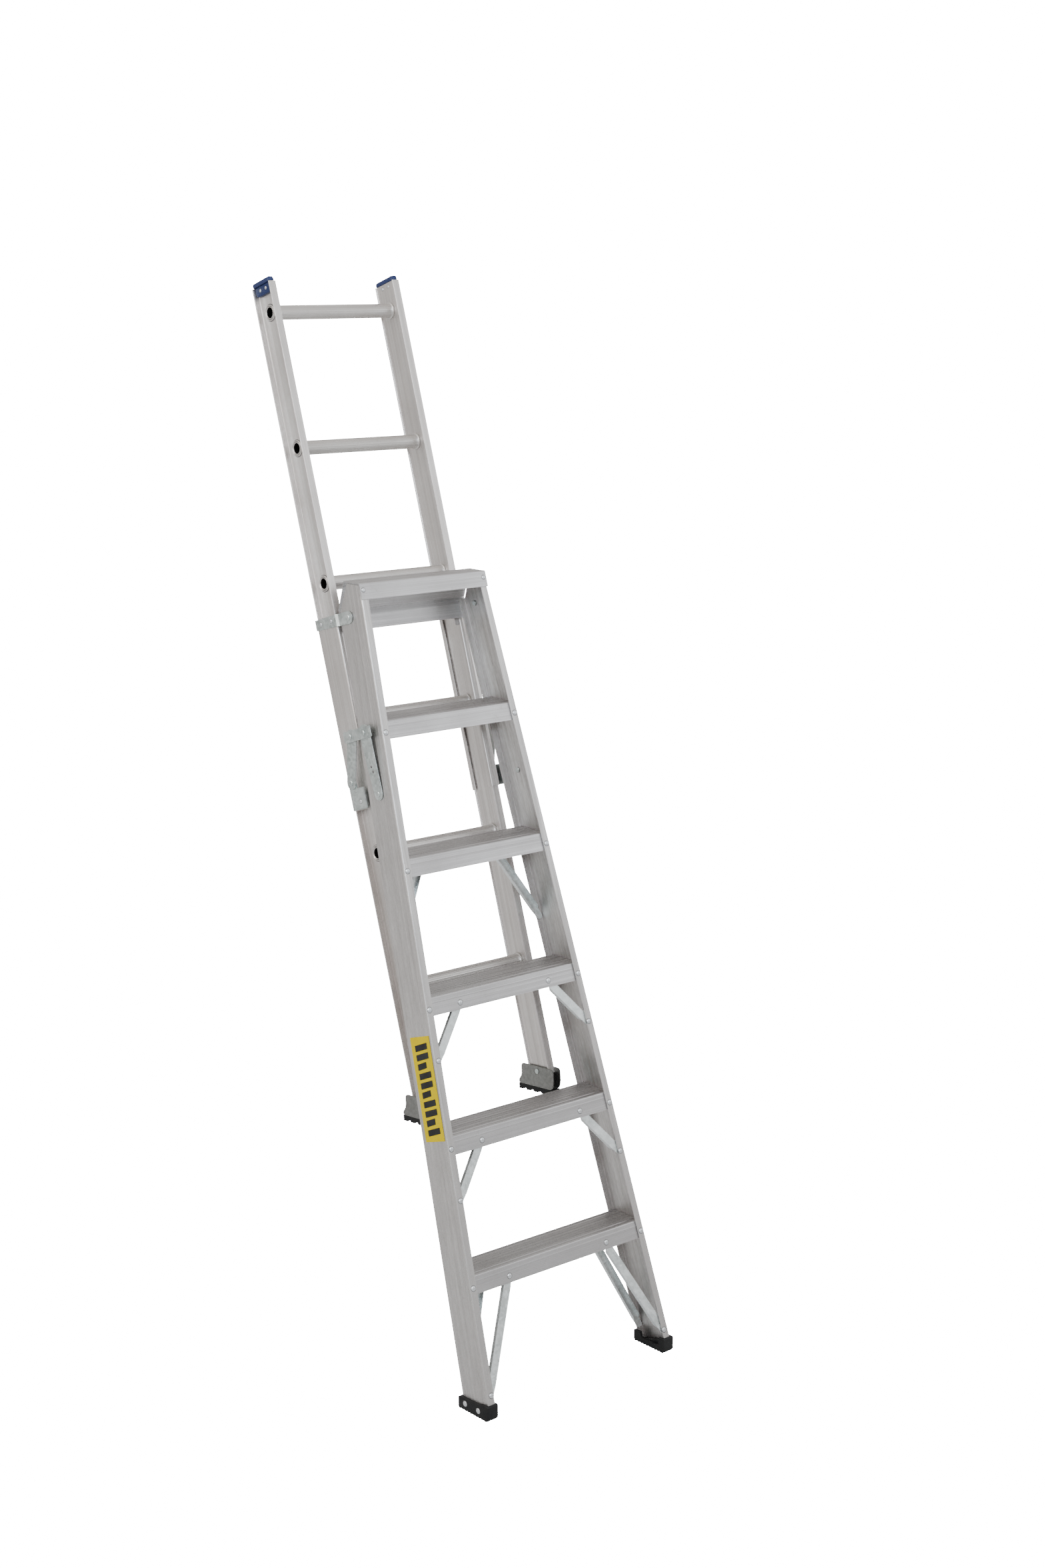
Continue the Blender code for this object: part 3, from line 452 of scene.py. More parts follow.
def makeDrawnMetal(name, lean, direction, dark, light, soiledAndShaded, roughness, bumpStrength):
    # bare aluminium with lines along the direction it was drawn in, handling marks, and painted shade that
    # darkens it towards the floor
    material, tree, shader, vector = startMaterial(name, lean)
    link = tree.links.new
    grain = newNode(tree, "ShaderNodeGroup", node_tree=grainGroup, Vector=vector,
                    Fine_Scale=grainScale(grainValues["fine"], direction),
                    Broad_Scale=grainScale(grainValues["broad"], direction))
    marks = addMarks(tree, vector, 7.0)
    spread = newNode(tree, "ShaderNodeMapRange", Value=grain.outputs["Grain"], From_Min=0.34, From_Max=0.66)
    drawn = mixColour(tree, spread.outputs[0], dark, light)
    clouded = mixColour(tree, rangeOf(tree, marks["Cloud"], 0.0, grainValues["cloud"]), drawn, soiledAndShaded)
    place = newNode(tree, "ShaderNodeSeparateXYZ", Vector=vector)
    # painted shade: the soiled colour mixed in more strongly towards the floor
    low = newNode(tree, "ShaderNodeMapRange", Value=place.outputs["Z"], From_Max=floorShadeValues["height"],
                  To_Min=floorShadeValues["amount"], To_Max=0.0)
    dustAndShade = mixColour(tree, low.outputs[0], clouded, soiledAndShaded)
    wearAndShade = mixColour(tree, rangeOf(tree, marks["Scuff"], 0.0, grainValues["scuff"]), dustAndShade, soiledAndShaded)
    link(wearAndShade, shader.inputs["Base Color"])
    shader.inputs["Metallic"].default_value = 1.0
    link(rangeOf(tree, spread.outputs[0], roughness[1], roughness[0]), shader.inputs["Roughness"])
    addBump(tree, shader, grain.outputs["Lines"], bumpStrength, grainValues["distance"])
    return material


def makeZinc(name, dark, light):
    # zinc plate on pressed steel: faint crystals with a cool green cast
    material, tree, shader, vector = startMaterial(name, 0.0)
    link = tree.links.new
    crystals = newNode(tree, "ShaderNodeTexVoronoi", Vector=vector, Scale=150.0)
    tone = newNode(tree, "ShaderNodeSeparateColor", Color=crystals.outputs["Color"])
    marks = addMarks(tree, vector, 22.0)
    plate = mixColour(tree, rangeOf(tree, tone.outputs[0], 0.0, 0.55), dark, light)
    clouded = mixColour(tree, rangeOf(tree, marks["Cloud"], 0.0, 0.6), plate, light)
    link(clouded, shader.inputs["Base Color"])
    shader.inputs["Metallic"].default_value = 1.0
    link(rangeOf(tree, tone.outputs[0], 0.34, 0.50), shader.inputs["Roughness"])
    addBump(tree, shader, marks["Cloud"], 0.12, 0.0006)
    return material


def makeMoulded(name, base, dustAndShade, roughness, dust, scale, shine):
    # moulded rubber or plastic: fine pebble, and a little dust
    material, tree, shader, vector = startMaterial(name, 0.0)
    link = tree.links.new
    cloud = addMarks(tree, vector, 26.0)["Cloud"]
    pebble = newNode(tree, "ShaderNodeTexNoise", Vector=vector, Scale=scale, Detail=2.0)
    link(mixColour(tree, rangeOf(tree, cloud, 0.0, dust), base, dustAndShade), shader.inputs["Base Color"])
    link(rangeOf(tree, cloud, *roughness), shader.inputs["Roughness"])
    shader.inputs["Specular IOR Level"].default_value = shine
    addBump(tree, shader, pebble.outputs["Fac"], 0.25, 0.0005)
    return material


zincLooks = {
    # name: dark, light
    "zincSteel": ((0.44, 0.49, 0.475), (0.72, 0.76, 0.75)),
    "brightZinc": ((0.60, 0.645, 0.64), (0.84, 0.87, 0.865)),
}
mouldedLooks = {
    # name: base, dusty, roughness, dust, pebble scale, shine
    "blackRubber": ((0.006, 0.006, 0.0065), (0.022, 0.021, 0.020), (0.50, 0.70), 0.6, 900.0, 0.18),
    "bluePlastic": ((0.006, 0.017, 0.085), (0.020, 0.034, 0.10), (0.34, 0.50), 0.5, 1100.0, 0.35),
    "labelYellow": ((0.60, 0.455, 0.0), (0.52, 0.39, 0.0), (0.50, 0.65), 0.5, 600.0, 0.0),
    "labelBlack": ((0.012, 0.012, 0.012), (0.04, 0.04, 0.04), (0.40, 0.55), 0.5, 600.0, 0.15),
}
materials = {}
for make, looks in ((makeDrawnMetal, metalLooks), (makeZinc, zincLooks), (makeMoulded, mouldedLooks)):
    for name, values in looks.items():
        materials[name] = make(name, *values)
print("materials are made")


def settle(piece, body, material, replaced=()):
    # gives a finished piece its material, its body and the solids it stands for
    if not piece.data.materials:
        piece.data.materials.append(materials[material])
    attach(piece, body)
    if replaced:
        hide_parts(*replaced)
    return piece


def paintFaces(piece, looks, index):
    # several finishes on one mesh, chosen face by face
    for look in looks:
        piece.data.materials.append(materials[look])
    piece.data.polygons.foreach_set("material_index", index.astype(np.int32).ravel())
    return piece


def outerFace(node):
    # greatest distance from the centre plane that a solid reaches
    mesh, place = nodes[node].data, np.array(nodes[node].matrix_world)
    points = np.empty(3 * len(mesh.vertices))
    mesh.vertices.foreach_get("co", points)
    return np.abs(points.reshape(-1, 3) @ place[0, :3] + place[0, 3]).max()


def makeRivets(name, body, groups):
    # rivet heads in one mesh, each with a thin dark ring of painted shade where it meets the sheet: the two
    # lowest rows of its faces
    sets = [rings for group in groups for rings in domeRings(*group)]
    stations, count = sets[0].shape[:2]
    shadeRing = np.zeros((len(sets), (stations - 1) * count + 2))
    shadeRing[:, :2 * count] = 1
    rivets = paintFaces(joinedPiece(name, sets), ("rivetAluminium", "grimyAluminium"), shadeRing)
    settle(rivets, body, "rivetAluminium")


railValues = {
    "halfWidth": 0.2732,         # outer face at the foot of the rail's line
    "spread": 0.0534,            # half width lost for each metre up
    "depth": 0.0887,
    "flange": 0.0185,
    "thick": 0.0023,
    "corner": 0.0030,
    "start": 0.0340,
    "top": 1.8380,
    "chamferStart": 0.0455,
    "chamferEnd": 1.7930,
    "ridges": ((0.0145, 0.0300, 0.0585, 0.0742), 0.0042, 0.00035),      # places, width and height
    "linePitch": 0.0052,         # shallow lines between the ridges
    "lineDepth": 0.0002,
    "topDrop": 0.0022,           # shadow gap between the cut rails and the sheet over them
}
topFloorHeight = railValues["top"] * stepSection["cosine"] + stepSection["z"]


def railFace(height):
    # outer face of a step rail from the centre plane
    return railValues["halfWidth"] - railValues["spread"] * height


def railTop(depth):
    # level cut at the front, then a slanting cut to the back
    level = levelHeight(stepSection, depth, topFloorHeight)
    corner = levelHeight(stepSection, railValues["chamferStart"], topFloorHeight)
    share = (depth - railValues["chamferStart"]) / (railValues["depth"] - railValues["chamferStart"])
    return np.where(depth <= railValues["chamferStart"], level,
                    corner + (railValues["chamferEnd"] - corner) * share) - railValues["topDrop"]


def makeStepRail(name, side):
    # channel section with low ridges on its web, carried from the square foot to the cut top
    v = railValues
    corners = [(v["flange"], 0.0), (0.0, 0.0), (0.0, v["depth"]), (v["flange"], v["depth"])]
    path = roundedPath(corners, v["corner"], 0.0012)
    onWeb = (path[:, 0] < 1e-6)
    relief = ridgeRow(path[:, 1], *v["ridges"])
    relief = relief - v["lineDepth"] * (np.sin(path[:, 1] * 2 * np.pi / v["linePitch"]) > 0.86)
    profile = sheetProfile(path, v["thick"], np.where(onWeb, relief, 0.0), bothSides=False)
    inward, depth = profile[:, 0], np.clip(profile[:, 1], 0.0, v["depth"])
    stations = np.linspace(0, 1, 9)[:, None]
    height = v["start"] + (railTop(depth) - v["start"]) * stations
    rings = toWorld(stepSection, side * (railFace(height) - inward), profile[:, 1], height)
    return sweptPiece(name, rings, "pairs")


def paintTread(piece, onTread, stations):
    # tread finish painted darker as shade on the walked-on faces, plain finish on the others
    wearAndShade = np.concatenate([onTread, np.zeros_like(onTread)])
    index = np.zeros(len(piece.data.polygons))
    index[:len(wearAndShade) * (stations - 1)] = np.tile(wearAndShade, stations - 1)
    return paintFaces(piece, ("crossAluminium", "treadAluminium"), index)


stepValues = {
    "rivetTop": 1.5118,
    "treadAboveRivet": 0.0255,
    "apronBelowRivet": 0.0150,
    "skirt": 0.0430,
    "thick": 0.0020,
    "front": 0.0031,             # apron face behind the rail fronts
    "endGap": 0.0027,
    "grooves": ((0.0230, 0.0330, 0.0430, 0.0530, 0.0630, 0.0730), 0.0034, 0.0007),
    "wideGroove": ((0.0130,), 0.0060, 0.0024),
    "bead": ((0.0120,), 0.0034, 0.00025),        # place below the tread
    "corner": 0.0030,
    "margin": 0.0040,            # plain strip along the tread's edges
}


def stepRivetHeight(number):
    # second step's rivet height less one spacing for each step below it
    return stepValues["rivetTop"] - (number - 2) * layout["spacing"]


def makeStep(number):
    # inverted channel: apron with a bead, grooved tread, and a short skirt at the back
    v = stepValues
    rivet = stepRivetHeight(number)
    front, back = v["front"], railValues["depth"] - v["front"]
    topFront = rivet + v["treadAboveRivet"]
    slope = stepSection["sine"] / stepSection["cosine"]
    topBack = topFront + (back - front) * slope
    corners = [(front, rivet - v["apronBelowRivet"]), (front, topFront), (back, topBack),
               (back, topBack - v["skirt"])]
    path = roundedPath(corners, v["corner"], 0.0008)
    run = path[:, 0] - front
    inside = (run > v["margin"]) & (run < back - front - v["margin"])
    onTread = (path[:, 1] > topFront + run * slope - 0.0005) & inside
    grooves = np.maximum(ridgeRow(run, *v["grooves"]), ridgeRow(run, *v["wideGroove"]))
    bead = ridgeRow(topFront - path[:, 1], *v["bead"])
    relief = np.where(onTread, -grooves, np.where(run < 1e-4, bead, 0.0))
    profile = sheetProfile(path, v["thick"], relief)
    height = profile[:, 1]
    reach = railFace(height) - v["endGap"]
    rings = toWorld(stepSection, np.linspace(-1, 1, 5)[:, None] * reach, profile[:, 0], height)
    return paintTread(sweptPiece(f"step{number}", rings, "pairs"), onTread, len(rings))


topValues = {
    "halfWidth": 0.1775,
    "thick": 0.0024,
    "gap": 0.0003,
    "apronEnd": 1.8040,
    "panelEnd": 1.7520,
    "standoff": 0.0040,
    "radii": (0, 0.0032, 0.0032, 0.0045, 0),
    "grooves": ((0.0160, 0.0275, 0.0390), 0.0042, 0.0011),
}


def makeTopStep():
    # apron over the rail fronts, grooved level tread, slanting back and a plain rear panel
    v = topValues
    top = topFloorHeight + v["gap"] + v["thick"]
    front = -v["gap"] - v["thick"]
    back = railValues["depth"] + v["gap"] + v["thick"]
    run = railValues["depth"] - railValues["chamferStart"]
    crest = levelHeight(stepSection, railValues["chamferStart"], topFloorHeight)
    drop = crest - railValues["chamferEnd"]
    stand = (v["standoff"] + v["thick"]) * math.hypot(run, drop) / drop

    def slant(height):
        # depth of the sheet's slanting back at a height
        return railValues["chamferStart"] + (crest - height) * run / drop + stand

    treadEnd = slant(levelHeight(stepSection, railValues["chamferStart"], top))
    low = railValues["chamferEnd"] + (slant(railValues["chamferEnd"]) - back) * drop / run
    corners = [(front, v["apronEnd"]), (front, levelHeight(stepSection, front, top)),
               (treadEnd, levelHeight(stepSection, treadEnd, top)), (back, low), (back, v["panelEnd"])]
    path = roundedPath(corners, v["radii"], 0.0008)
    floorHeight = stepSection["z"] + path[:, 1] * stepSection["cosine"] - path[:, 0] * stepSection["sine"]
    onTread = floorHeight > top - 0.0002
    relief = np.where(onTread, -ridgeRow(path[:, 0], *v["grooves"]), 0.0)
    profile = sheetProfile(path, v["thick"], relief)
    across = np.linspace(-v["halfWidth"], v["halfWidth"], 5)[:, None]
    rings = toWorld(stepSection, across, profile[:, 0], profile[:, 1])
    return paintTread(sweptPiece("topStep", rings, "pairs"), onTread, len(rings))


for name, side in sides:
    settle(makeStepRail(f"stepRail_{name}", side), "step_section", "railAluminium",
           (f"step_rail_{name}",))
for number in range(2, 7):
    settle(makeStep(number), "step_section", "crossAluminium", (f"step_{number}",))
settle(makeTopStep(), "step_section", "crossAluminium", ("top_step",))
print("step section is made")


flyValues = {
    "axis": 0.0830,              # rung axis behind the hinge
    "firstRung": 0.7011,         # top rung above the hinge
    "inner": 0.1617,
    "webInner": 0.1643,
    "webOuter": 0.1667,
    "outer": 0.1800,
    "depth": 0.0696,
    "flange": 0.0032,
    "above": 0.0620,
    "below": 1.7930,             # rail's end below the top rung
    "edge": 0.0008,
    "ridges": ((0.1665, 0.1762), 0.0022, 0.00025),
    "hole": 0.0161,              # radius of the holes for the rungs
}
rungHeights = [flyValues["firstRung"] - i * layout["spacing"] for i in range(6)]


def makeFlyRail(name, side):
    # channel that opens outwards, with two ridges along each flange and bored for the rungs
    v = flyValues
    half = v["depth"] / 2
    inside = half - v["flange"]
    corners = [(v["inner"], half), (v["outer"], half), (v["outer"], inside), (v["webOuter"], inside),
               (v["webOuter"], -inside), (v["outer"], -inside), (v["outer"], -half), (v["inner"], -half),
               (v["inner"], -inside), (v["webInner"], -inside), (v["webInner"], inside), (v["inner"], inside)]
    outline = roundedPath(corners, v["edge"], 0.0012, closed=True)
    outside = np.abs(np.abs(outline[:, 1]) - half) < 1e-6
    sunk = v["ridges"][2] - ridgeRow(outline[:, 0], *v["ridges"])
    depth = outline[:, 1] - np.sign(outline[:, 1]) * np.where(outside, sunk, 0.0)
    low, high = v["firstRung"] - v["below"], v["firstRung"] + v["above"]
    heights = np.linspace(low, high, 9)[:, None]
    rings = toWorld(flySection, side * outline[:, 0], v["axis"] + depth, heights)
    rail = sweptPiece(name, rings)
    centres = [(v["axis"], height) for height in rungHeights]
    low, high = v["webInner"] - 0.004, v["webOuter"] + 0.004
    cutAway(rail, roundHoles(flySection, centres, v["hole"], low, high, side))
    return rail


rungValues = {
    "radius": 0.01588,
    "bore": 0.0116,
    "flutes": 28,
    "fluteDepth": 0.00035,
    "bead": 0.0187,
    "beadShape": ((-0.0031, -0.0007), (-0.0024, 0.0), (-0.0008, 0.0), (0.0, -0.0005)),
    "lip": 0.0180,
    "lipShape": ((0.0, 0.0015), (0.0004, 0.0), (0.0014, -0.0001), (0.0022, -0.0008), (0.0024, -0.0019),
                 (0.0018, -0.0028), (0.0002, -0.0031), (0.0002, -0.0037), (0.0020, -0.0040),
                 (0.0028, -0.0048)),     # offsets across from the web and out from the radius
    "sharp": 40,
}


def makeRung(number, height):
    # fluted tube with a pressed bead inside each rail and a rolled lip outside it
    v = rungValues
    web, outside = flyValues["webInner"] - shapeValues["gap"], flyValues["webOuter"] + shapeValues["gap"]
    r, bead, lip, bore = v["radius"], v["bead"], v["lip"], v["bore"]
    profile = [(0.0, r, 1), (0.100, r, 1), (0.148, r, 1), (0.153, r, 0), (web - 0.0042, r, 0),
               (web - 0.0036, r + 0.0004, 0)]
    profile += [(web + x, bead + up, 0) for x, up in v["beadShape"]] + [(web, r, 0), (outside, r, 0)]
    profile += [(outside + x, lip + up, 0) for x, up in v["lipShape"]]
    profile += [(outside + 0.0026, bore + 0.0008, 0), (outside + 0.0016, bore, 0),
                (outside - 0.0020, bore, 0), (0.150, bore, 0), (0.0, bore, 0)]
    right = np.array(profile)
    left = right[::-1] * (-1, 1, 1)
    x, radius, fluted = np.concatenate([right, left[1:-1]]).T
    angles = np.linspace(0, 2 * np.pi, 5 * v["flutes"], endpoint=False)
    dent = v["fluteDepth"] * fluted[:, None] * (0.5 - 0.5 * np.cos(angles * v["flutes"]))
    r = radius[:, None] - dent
    depth = flyValues["axis"] + r * np.cos(angles)
    rings = toWorld(flySection, x[:, None], depth, height + r * np.sin(angles))
    rung = sweptPiece(f"rung{number}", rings, "ring", v["sharp"])
    middle, between = (np.abs(x) + np.abs(np.roll(x, -1))) / 2, (radius + np.roll(radius, -1)) / 2
    # the dark bore and the thin dark ring at the foot of each lip are painted shade
    inBore = (between < bore + 0.0001) & (middle < outside + 0.0005)
    rimShade = (middle > outside - 0.0001) & (middle < outside + 0.00025) & (between > bore)
    index = np.repeat(inBore + 2 * rimShade, len(angles))
    return paintFaces(rung, ("rungAluminium", "boreShade", "grimyAluminium"), index)


capValues = {
    "radius": 0.0090,
    "layers": ((0.0, 0.0012), (0.0012, 0.0), (0.0068, 0.0), (0.0092, 0.0012), (0.0105, 0.0040)),   # up, inset
    "tongue": 0.0215,
    "tongueThick": 0.0078,
    "tongueRadii": (0.0095, 0.0095, 0.001, 0.001),
    "tongueEdge": 0.0022,
    "sideGap": 0.0006,           # between the tongue and the flanges
}


def makeCap(name, side):
    # rounded slab over the rail's end, and a tongue with round corners down its channel
    v = capValues
    half, low = flyValues["depth"] / 2, flyValues["firstRung"] + flyValues["above"] + shapeValues["gap"]
    slab = []
    for up, inset in v["layers"]:
        x0, x1, y = flyValues["inner"] + inset, flyValues["outer"] - inset, half - inset
        corners = [(x0, -y), (x1, -y), (x1, y), (x0, y)]
        outline = roundedPath(corners, v["radius"] - inset, 0.01, closed=True)
        slab.append(toWorld(flySection, side * outline[:, 0], flyValues["axis"] + outline[:, 1], low + up))
    reach = half - flyValues["flange"] - v["sideGap"]
    front, back = flyValues["axis"] - reach, flyValues["axis"] + reach
    end, top = low - v["tongue"], low + 0.002
    corners = [(front, end), (back, end), (back, top), (front, top)]
    outline = roundedPath(corners, v["tongueRadii"], 0.01, closed=True)
    inner = flyValues["webOuter"] + shapeValues["gap"]
    tongue = plateRings(outline, flySection, side, inner, v["tongueThick"], v["tongueEdge"])
    return joinedPiece(name, [np.array(slab), tongue])


for name, side in sides:
    settle(makeCap(f"endCap_{name}", side), "fly_section", "bluePlastic",
           (f"end_cap_{name}",))
    settle(makeFlyRail(f"flyRail_{name}", side), "fly_section", "flyAluminium",
           (f"fly_rail_{name}",))
for i, height in enumerate(rungHeights):
    settle(makeRung(i + 1, height), "fly_section", "rungAluminium", (f"rung_{i + 1}",))
print("fly section is made")


guideValues = {
    "thick": 0.0024,
    "play": 0.0006,
    "lip": 0.0120,
    "corner": 0.0034,
    "top": 0.0162,
    "length": 0.4330,
    "ridges": ((0.1665, 0.1735), 0.0030, 0.0004),
}


def makeGuide(name, side):
    # channel round the fly rail, with lips on its inner edges and low ridges on its faces
    v = guideValues
    outer = flyValues["outer"] + v["play"] + v["thick"]
    lip = flyValues["inner"] - v["play"] - v["thick"]
    edge = flyValues["depth"] / 2 + v["play"] + v["thick"]
    corners = [(lip, edge - v["lip"]), (lip, edge), (outer, edge), (outer, -edge), (lip, -edge),
               (lip, v["lip"] - edge)]
    path = roundedPath(corners, v["corner"], 0.0012)
    onFace = np.abs(np.abs(path[:, 1]) - edge) < 1e-6
    relief = np.where(onFace, ridgeRow(path[:, 0], *v["ridges"]), 0.0)
    profile = sheetProfile(path, v["thick"], relief, bothSides=False)
    heights = np.linspace(v["top"] - v["length"], v["top"], 4)[:, None]
    rings = toWorld(flySection, side * profile[:, 0], flyValues["axis"] + profile[:, 1], heights)
    return sweptPiece(name, rings, "pairs")


tabValues = {
    "across": (0.1460, 0.1586),
    "height": (-0.0400, 0.0460),
    "depth": 0.0455,             # front face, level with the guide's front
    "thick": 0.0014,
    "corner": 0.0030,
    "rivet": (0.1560, 0.0290),
    "rivetRadius": 0.0022,
    "rivetHeight": 0.0010,
}


def makeTab(name, side):
    # flat tab that faces forward and stands above the guide's inner lip
    v = tabValues
    (x0, x1), (h0, h1) = v["across"], v["height"]
    outline = roundedPath([(x0, h0), (x1, h0), (x1, h1), (x0, h1)], v["corner"], 0.004, closed=True)
    depths = np.array([v["depth"], v["depth"] + v["thick"]])[:, None]
    return sweptPiece(name, toWorld(flySection, side * outline[:, 0], depths, outline[:, 1]))


for name, side in sides:
    settle(makeGuide(f"guideRail_{name}", side), "guides", "flyAluminium", (f"guide_{name}",))
    settle(makeTab(f"guideTab_{name}", side), "guides", "railAluminium")
print("guides are made")


bootValues = {
    "front": 0.0065,
    "back": 0.1085,
    "frontHeight": 0.0368,
    "backHeight": 0.0280,
    "wall": 0.0065,
    "innerWall": 0.0055,
    "chamfer": 0.0080,
    "edge": 0.0016,
    "ribs": 9,
    "ribDepth": 0.0010,
    "tray": ((0.020, 0.060), (0.026, 0.017), (0.082, 0.013), (0.092, 0.060)),    # depth and height
}


def makeBoot(name, side):
    # rubber block with a ribbed sole, hollowed for the rail, its inner wall cut down to a tray
    v = bootValues
    front, back = v["front"], v["back"]
    grip = np.linspace(front + 0.010, back - 0.008, v["ribs"] * 4 + 1)
    gripZ = np.where(np.arange(len(grip)) % 4 < 2, 0.0, v["ribDepth"])
    corners = ([(front, v["chamfer"] * 0.8), (front + 0.006, 0.0), *zip(grip, gripZ)]
               + [(back - 0.003, 0.0), (back, 0.004), (back, v["backHeight"] - 0.002),
                  (back - 0.004, v["backHeight"]), (0.070, 0.0300), (0.045, 0.0315),
                  (front + 0.020, v["frontHeight"] - 0.001), (front + 0.003, v["frontHeight"]),
                  (front, v["frontHeight"] - 0.003)])
    middle = railFace(railValues["start"])
    inner = middle - railValues["flange"] - v["innerWall"]
    width = railValues["flange"] + v["innerWall"] + v["wall"]
    boot = sweptPiece(name, plateRings(np.array(corners), levelSection, side, inner, width, v["edge"]))
    gap = shapeValues["gap"]
    low, high = railValues["start"] - gap, railValues["start"] + 0.09
    depths = np.array([-gap, railValues["depth"] + gap, railValues["depth"] + gap, -gap])
    heights = np.array([low, low, high, high])
    pocket = [toWorld(stepSection, side * (railFace(heights) + edge), depths, heights)
              for edge in (gap, -railValues["flange"] - gap)]
    cutAway(boot, sweptPiece("pocketCutter", np.array(pocket)))
    outline = roundedPath(v["tray"], 0.006, 0.01)
    tray = [toWorld(levelSection, side * x, outline[:, 0], outline[:, 1])
            for x in (inner - 0.01, middle - railValues["flange"])]
    cutAway(boot, sweptPiece("trayCutter", np.array(tray)))
    return boot


for name, side in sides:
    settle(makeBoot(f"rubberBoot_{name}", side), "step_section", "blackRubber",
           (f"boot_{name}",))
print("boots are made")


rivetValues = {
    "radius": 0.0060,
    "height": 0.0026,
    "railInset": 0.0092,         # from the rail's face to the rivets in its flanges
    "braceInset": 0.0125,
    "rearAbove": 0.0220,         # rivets at the back above those at the front
    "braceAbove": 0.0130,
    "topRadius": 0.0050,
    "topAcross": 0.1690,
    "topFront": 1.8250,
    "topBack": 1.7655,
    "sideHeight": 0.0016,        # how far the heads on the ladder's sides stand out
    "bootRadius": 0.0062,
    "bootPlaces": ((0.0390, 0.0170), (0.0840, 0.0170)),
    "strapRadius": 0.0046,
    "strapThick": 0.0025,
    "strapPlaces": ((0.0610, 0.0040), (0.1010, 0.0040)),
    "footPlace": (0.0660, -0.3990),
    "capRadius": 0.0036,
    "capHeight": 0.0013,
    "capPlaces": ((-0.0110, 0.0530), (0.0110, 0.0530)),      # from the axis of the top rung
    "dimpleRadius": 0.0026,
    "dimpleHeight": 0.0008,
    "dimplePlaces": ((0.0515, 1.4460), (0.0483, 1.4345)),
}
frontNormal = toWorld(stepSection, 0.0, -1.0, 0.0) - toWorld(stepSection, 0.0, 0.0, 0.0)
flyNormal = toWorld(flySection, 0.0, -1.0, 0.0) - toWorld(flySection, 0.0, 0.0, 0.0)
braces = {
    # step: face, distance across to the upper rivet, height of the lower rivet
    3: (("rear", 0.1060, 1.0480),),
    4: (("front", 0.1280, 0.7900),),
    5: (("front", 0.1435, 0.4835),),
    6: (("front", 0.1435, 0.0575), ("rear", 0.1610, 0.0700)),
}


def stepRivets():
    # rivets through rail flanges, aprons and brace ends, facing front or back
    v = rivetValues
    front, back = [], []
    rear = railValues["depth"]
    for number in range(2, 7):
        rivet = stepRivetHeight(number)
        above = rivet + v["rearAbove"]
        for _, side in sides:
            front.append((side * (railFace(rivet) - v["railInset"]), 0.0, rivet))
            back.append((side * (railFace(above) - v["railInset"]), rear, above))
            for place, upper, lower in braces.get(number, ()):
                foot = side * (railFace(lower) - v["braceInset"])
                if place == "front":
                    front.append((side * upper, stepValues["front"], rivet))
                    front.append((foot, 0.0, lower))
                else:
                    back.append((side * upper, rear - stepValues["front"], rivet + v["braceAbove"]))
                    back.append((foot, rear, lower))
    face = -topValues["gap"] - topValues["thick"]
    topFront = [(side * v["topAcross"], face, v["topFront"]) for _, side in sides]
    topBack = [(side * v["topAcross"], rear - face, v["topBack"]) for _, side in sides]
    groups = []
    for points, normal, radius in ((front, frontNormal, "radius"), (back, -frontNormal, "radius"),
                                   (topFront, frontNormal, "topRadius"),
                                   (topBack, -frontNormal, "topRadius")):
        placed = [toWorld(stepSection, *point) for point in points]
        groups.append((placed, [normal] * len(points), v[radius], v["height"]))
    makeRivets("stepRivets", "step_section", groups)


def sideSpots(section, x, places, depth=0.0, height=0.0):
    # points on a plane across the ladder, at places counted from a depth and a height
    return [toWorld(section, x, depth + place[0], height + place[1]) for place in places]


stepRivets()
for name, side in sides:
    v = rivetValues
    outward = (side, 0.0, 0.0)
    bootFace = side * (railFace(railValues["start"]) + bootValues["wall"])
    spots = sideSpots(levelSection, bootFace, v["bootPlaces"])
    heads = [(spots, [outward] * 2, v["bootRadius"], v["sideHeight"])]
    makeRivets(f"bootRivets_{name}", "step_section", heads)
    strapFace = side * (flyValues["outer"] + guideValues["play"] + guideValues["thick"] + v["strapThick"])
    footFace = side * outerFace(f"spreader_foot_{name}")
    spots = (sideSpots(flySection, strapFace, v["strapPlaces"])
             + sideSpots(flySection, footFace, [v["footPlace"]]))
    heads = [(spots, [outward] * 3, v["strapRadius"], v["sideHeight"])]
    makeRivets(f"guideRivets_{name}", "guides", heads)
    x, height = tabValues["rivet"]
    spots = [toWorld(flySection, side * x, tabValues["depth"], height)]
    dot = domeRings(spots, [flyNormal], tabValues["rivetRadius"], tabValues["rivetHeight"])
    # its head is drawn in the painted-shade finish
    settle(joinedPiece(f"tabRivet_{name}", dot), "guides", "grimyAluminium")
    capFace = flyValues["webOuter"] + shapeValues["gap"] + capValues["tongueThick"]
    spots = [spot for x in (capFace, flyValues["webInner"])
             for spot in sideSpots(flySection, side * x, v["capPlaces"], flyValues["axis"],
                                   flyValues["firstRung"])]
    heads = [(spots, [outward] * 2 + [(-side, 0.0, 0.0)] * 2, v["capRadius"], v["capHeight"])]
    makeRivets(f"capRivets_{name}", "fly_section", heads)
for name, side in sides:
    v = rivetValues
    armFace = side * outerFace(f"spreader_front_arm_{name}")
    centres = sideSpots(stepSection, armFace, v["dimplePlaces"])
    dimples = domeRings(centres, [(side, 0.0, 0.0)] * 2, v["dimpleRadius"], v["dimpleHeight"])
    # dimples drawn as small dark heads in the painted-shade finish
    settle(joinedPiece(f"armDimples_{name}", dimples), f"front_arm_{name}", "grimyAluminium")
print("rivets are made")


labelValues = {
    "depth": (0.0060, 0.0745),
    "height": (0.6170, 0.8480),
    "thick": 0.0003,
    "lift": 0.0004,              # off the rail's face
    "barLift": 0.0008,
    "bars": 10,
    "barStarts": (0.0170, 0.0290, 0.0170),
    "barEnd": 0.0610,
    "barShare": 0.66,
    "margin": 0.0120,
    "slant": 0.0050,
}


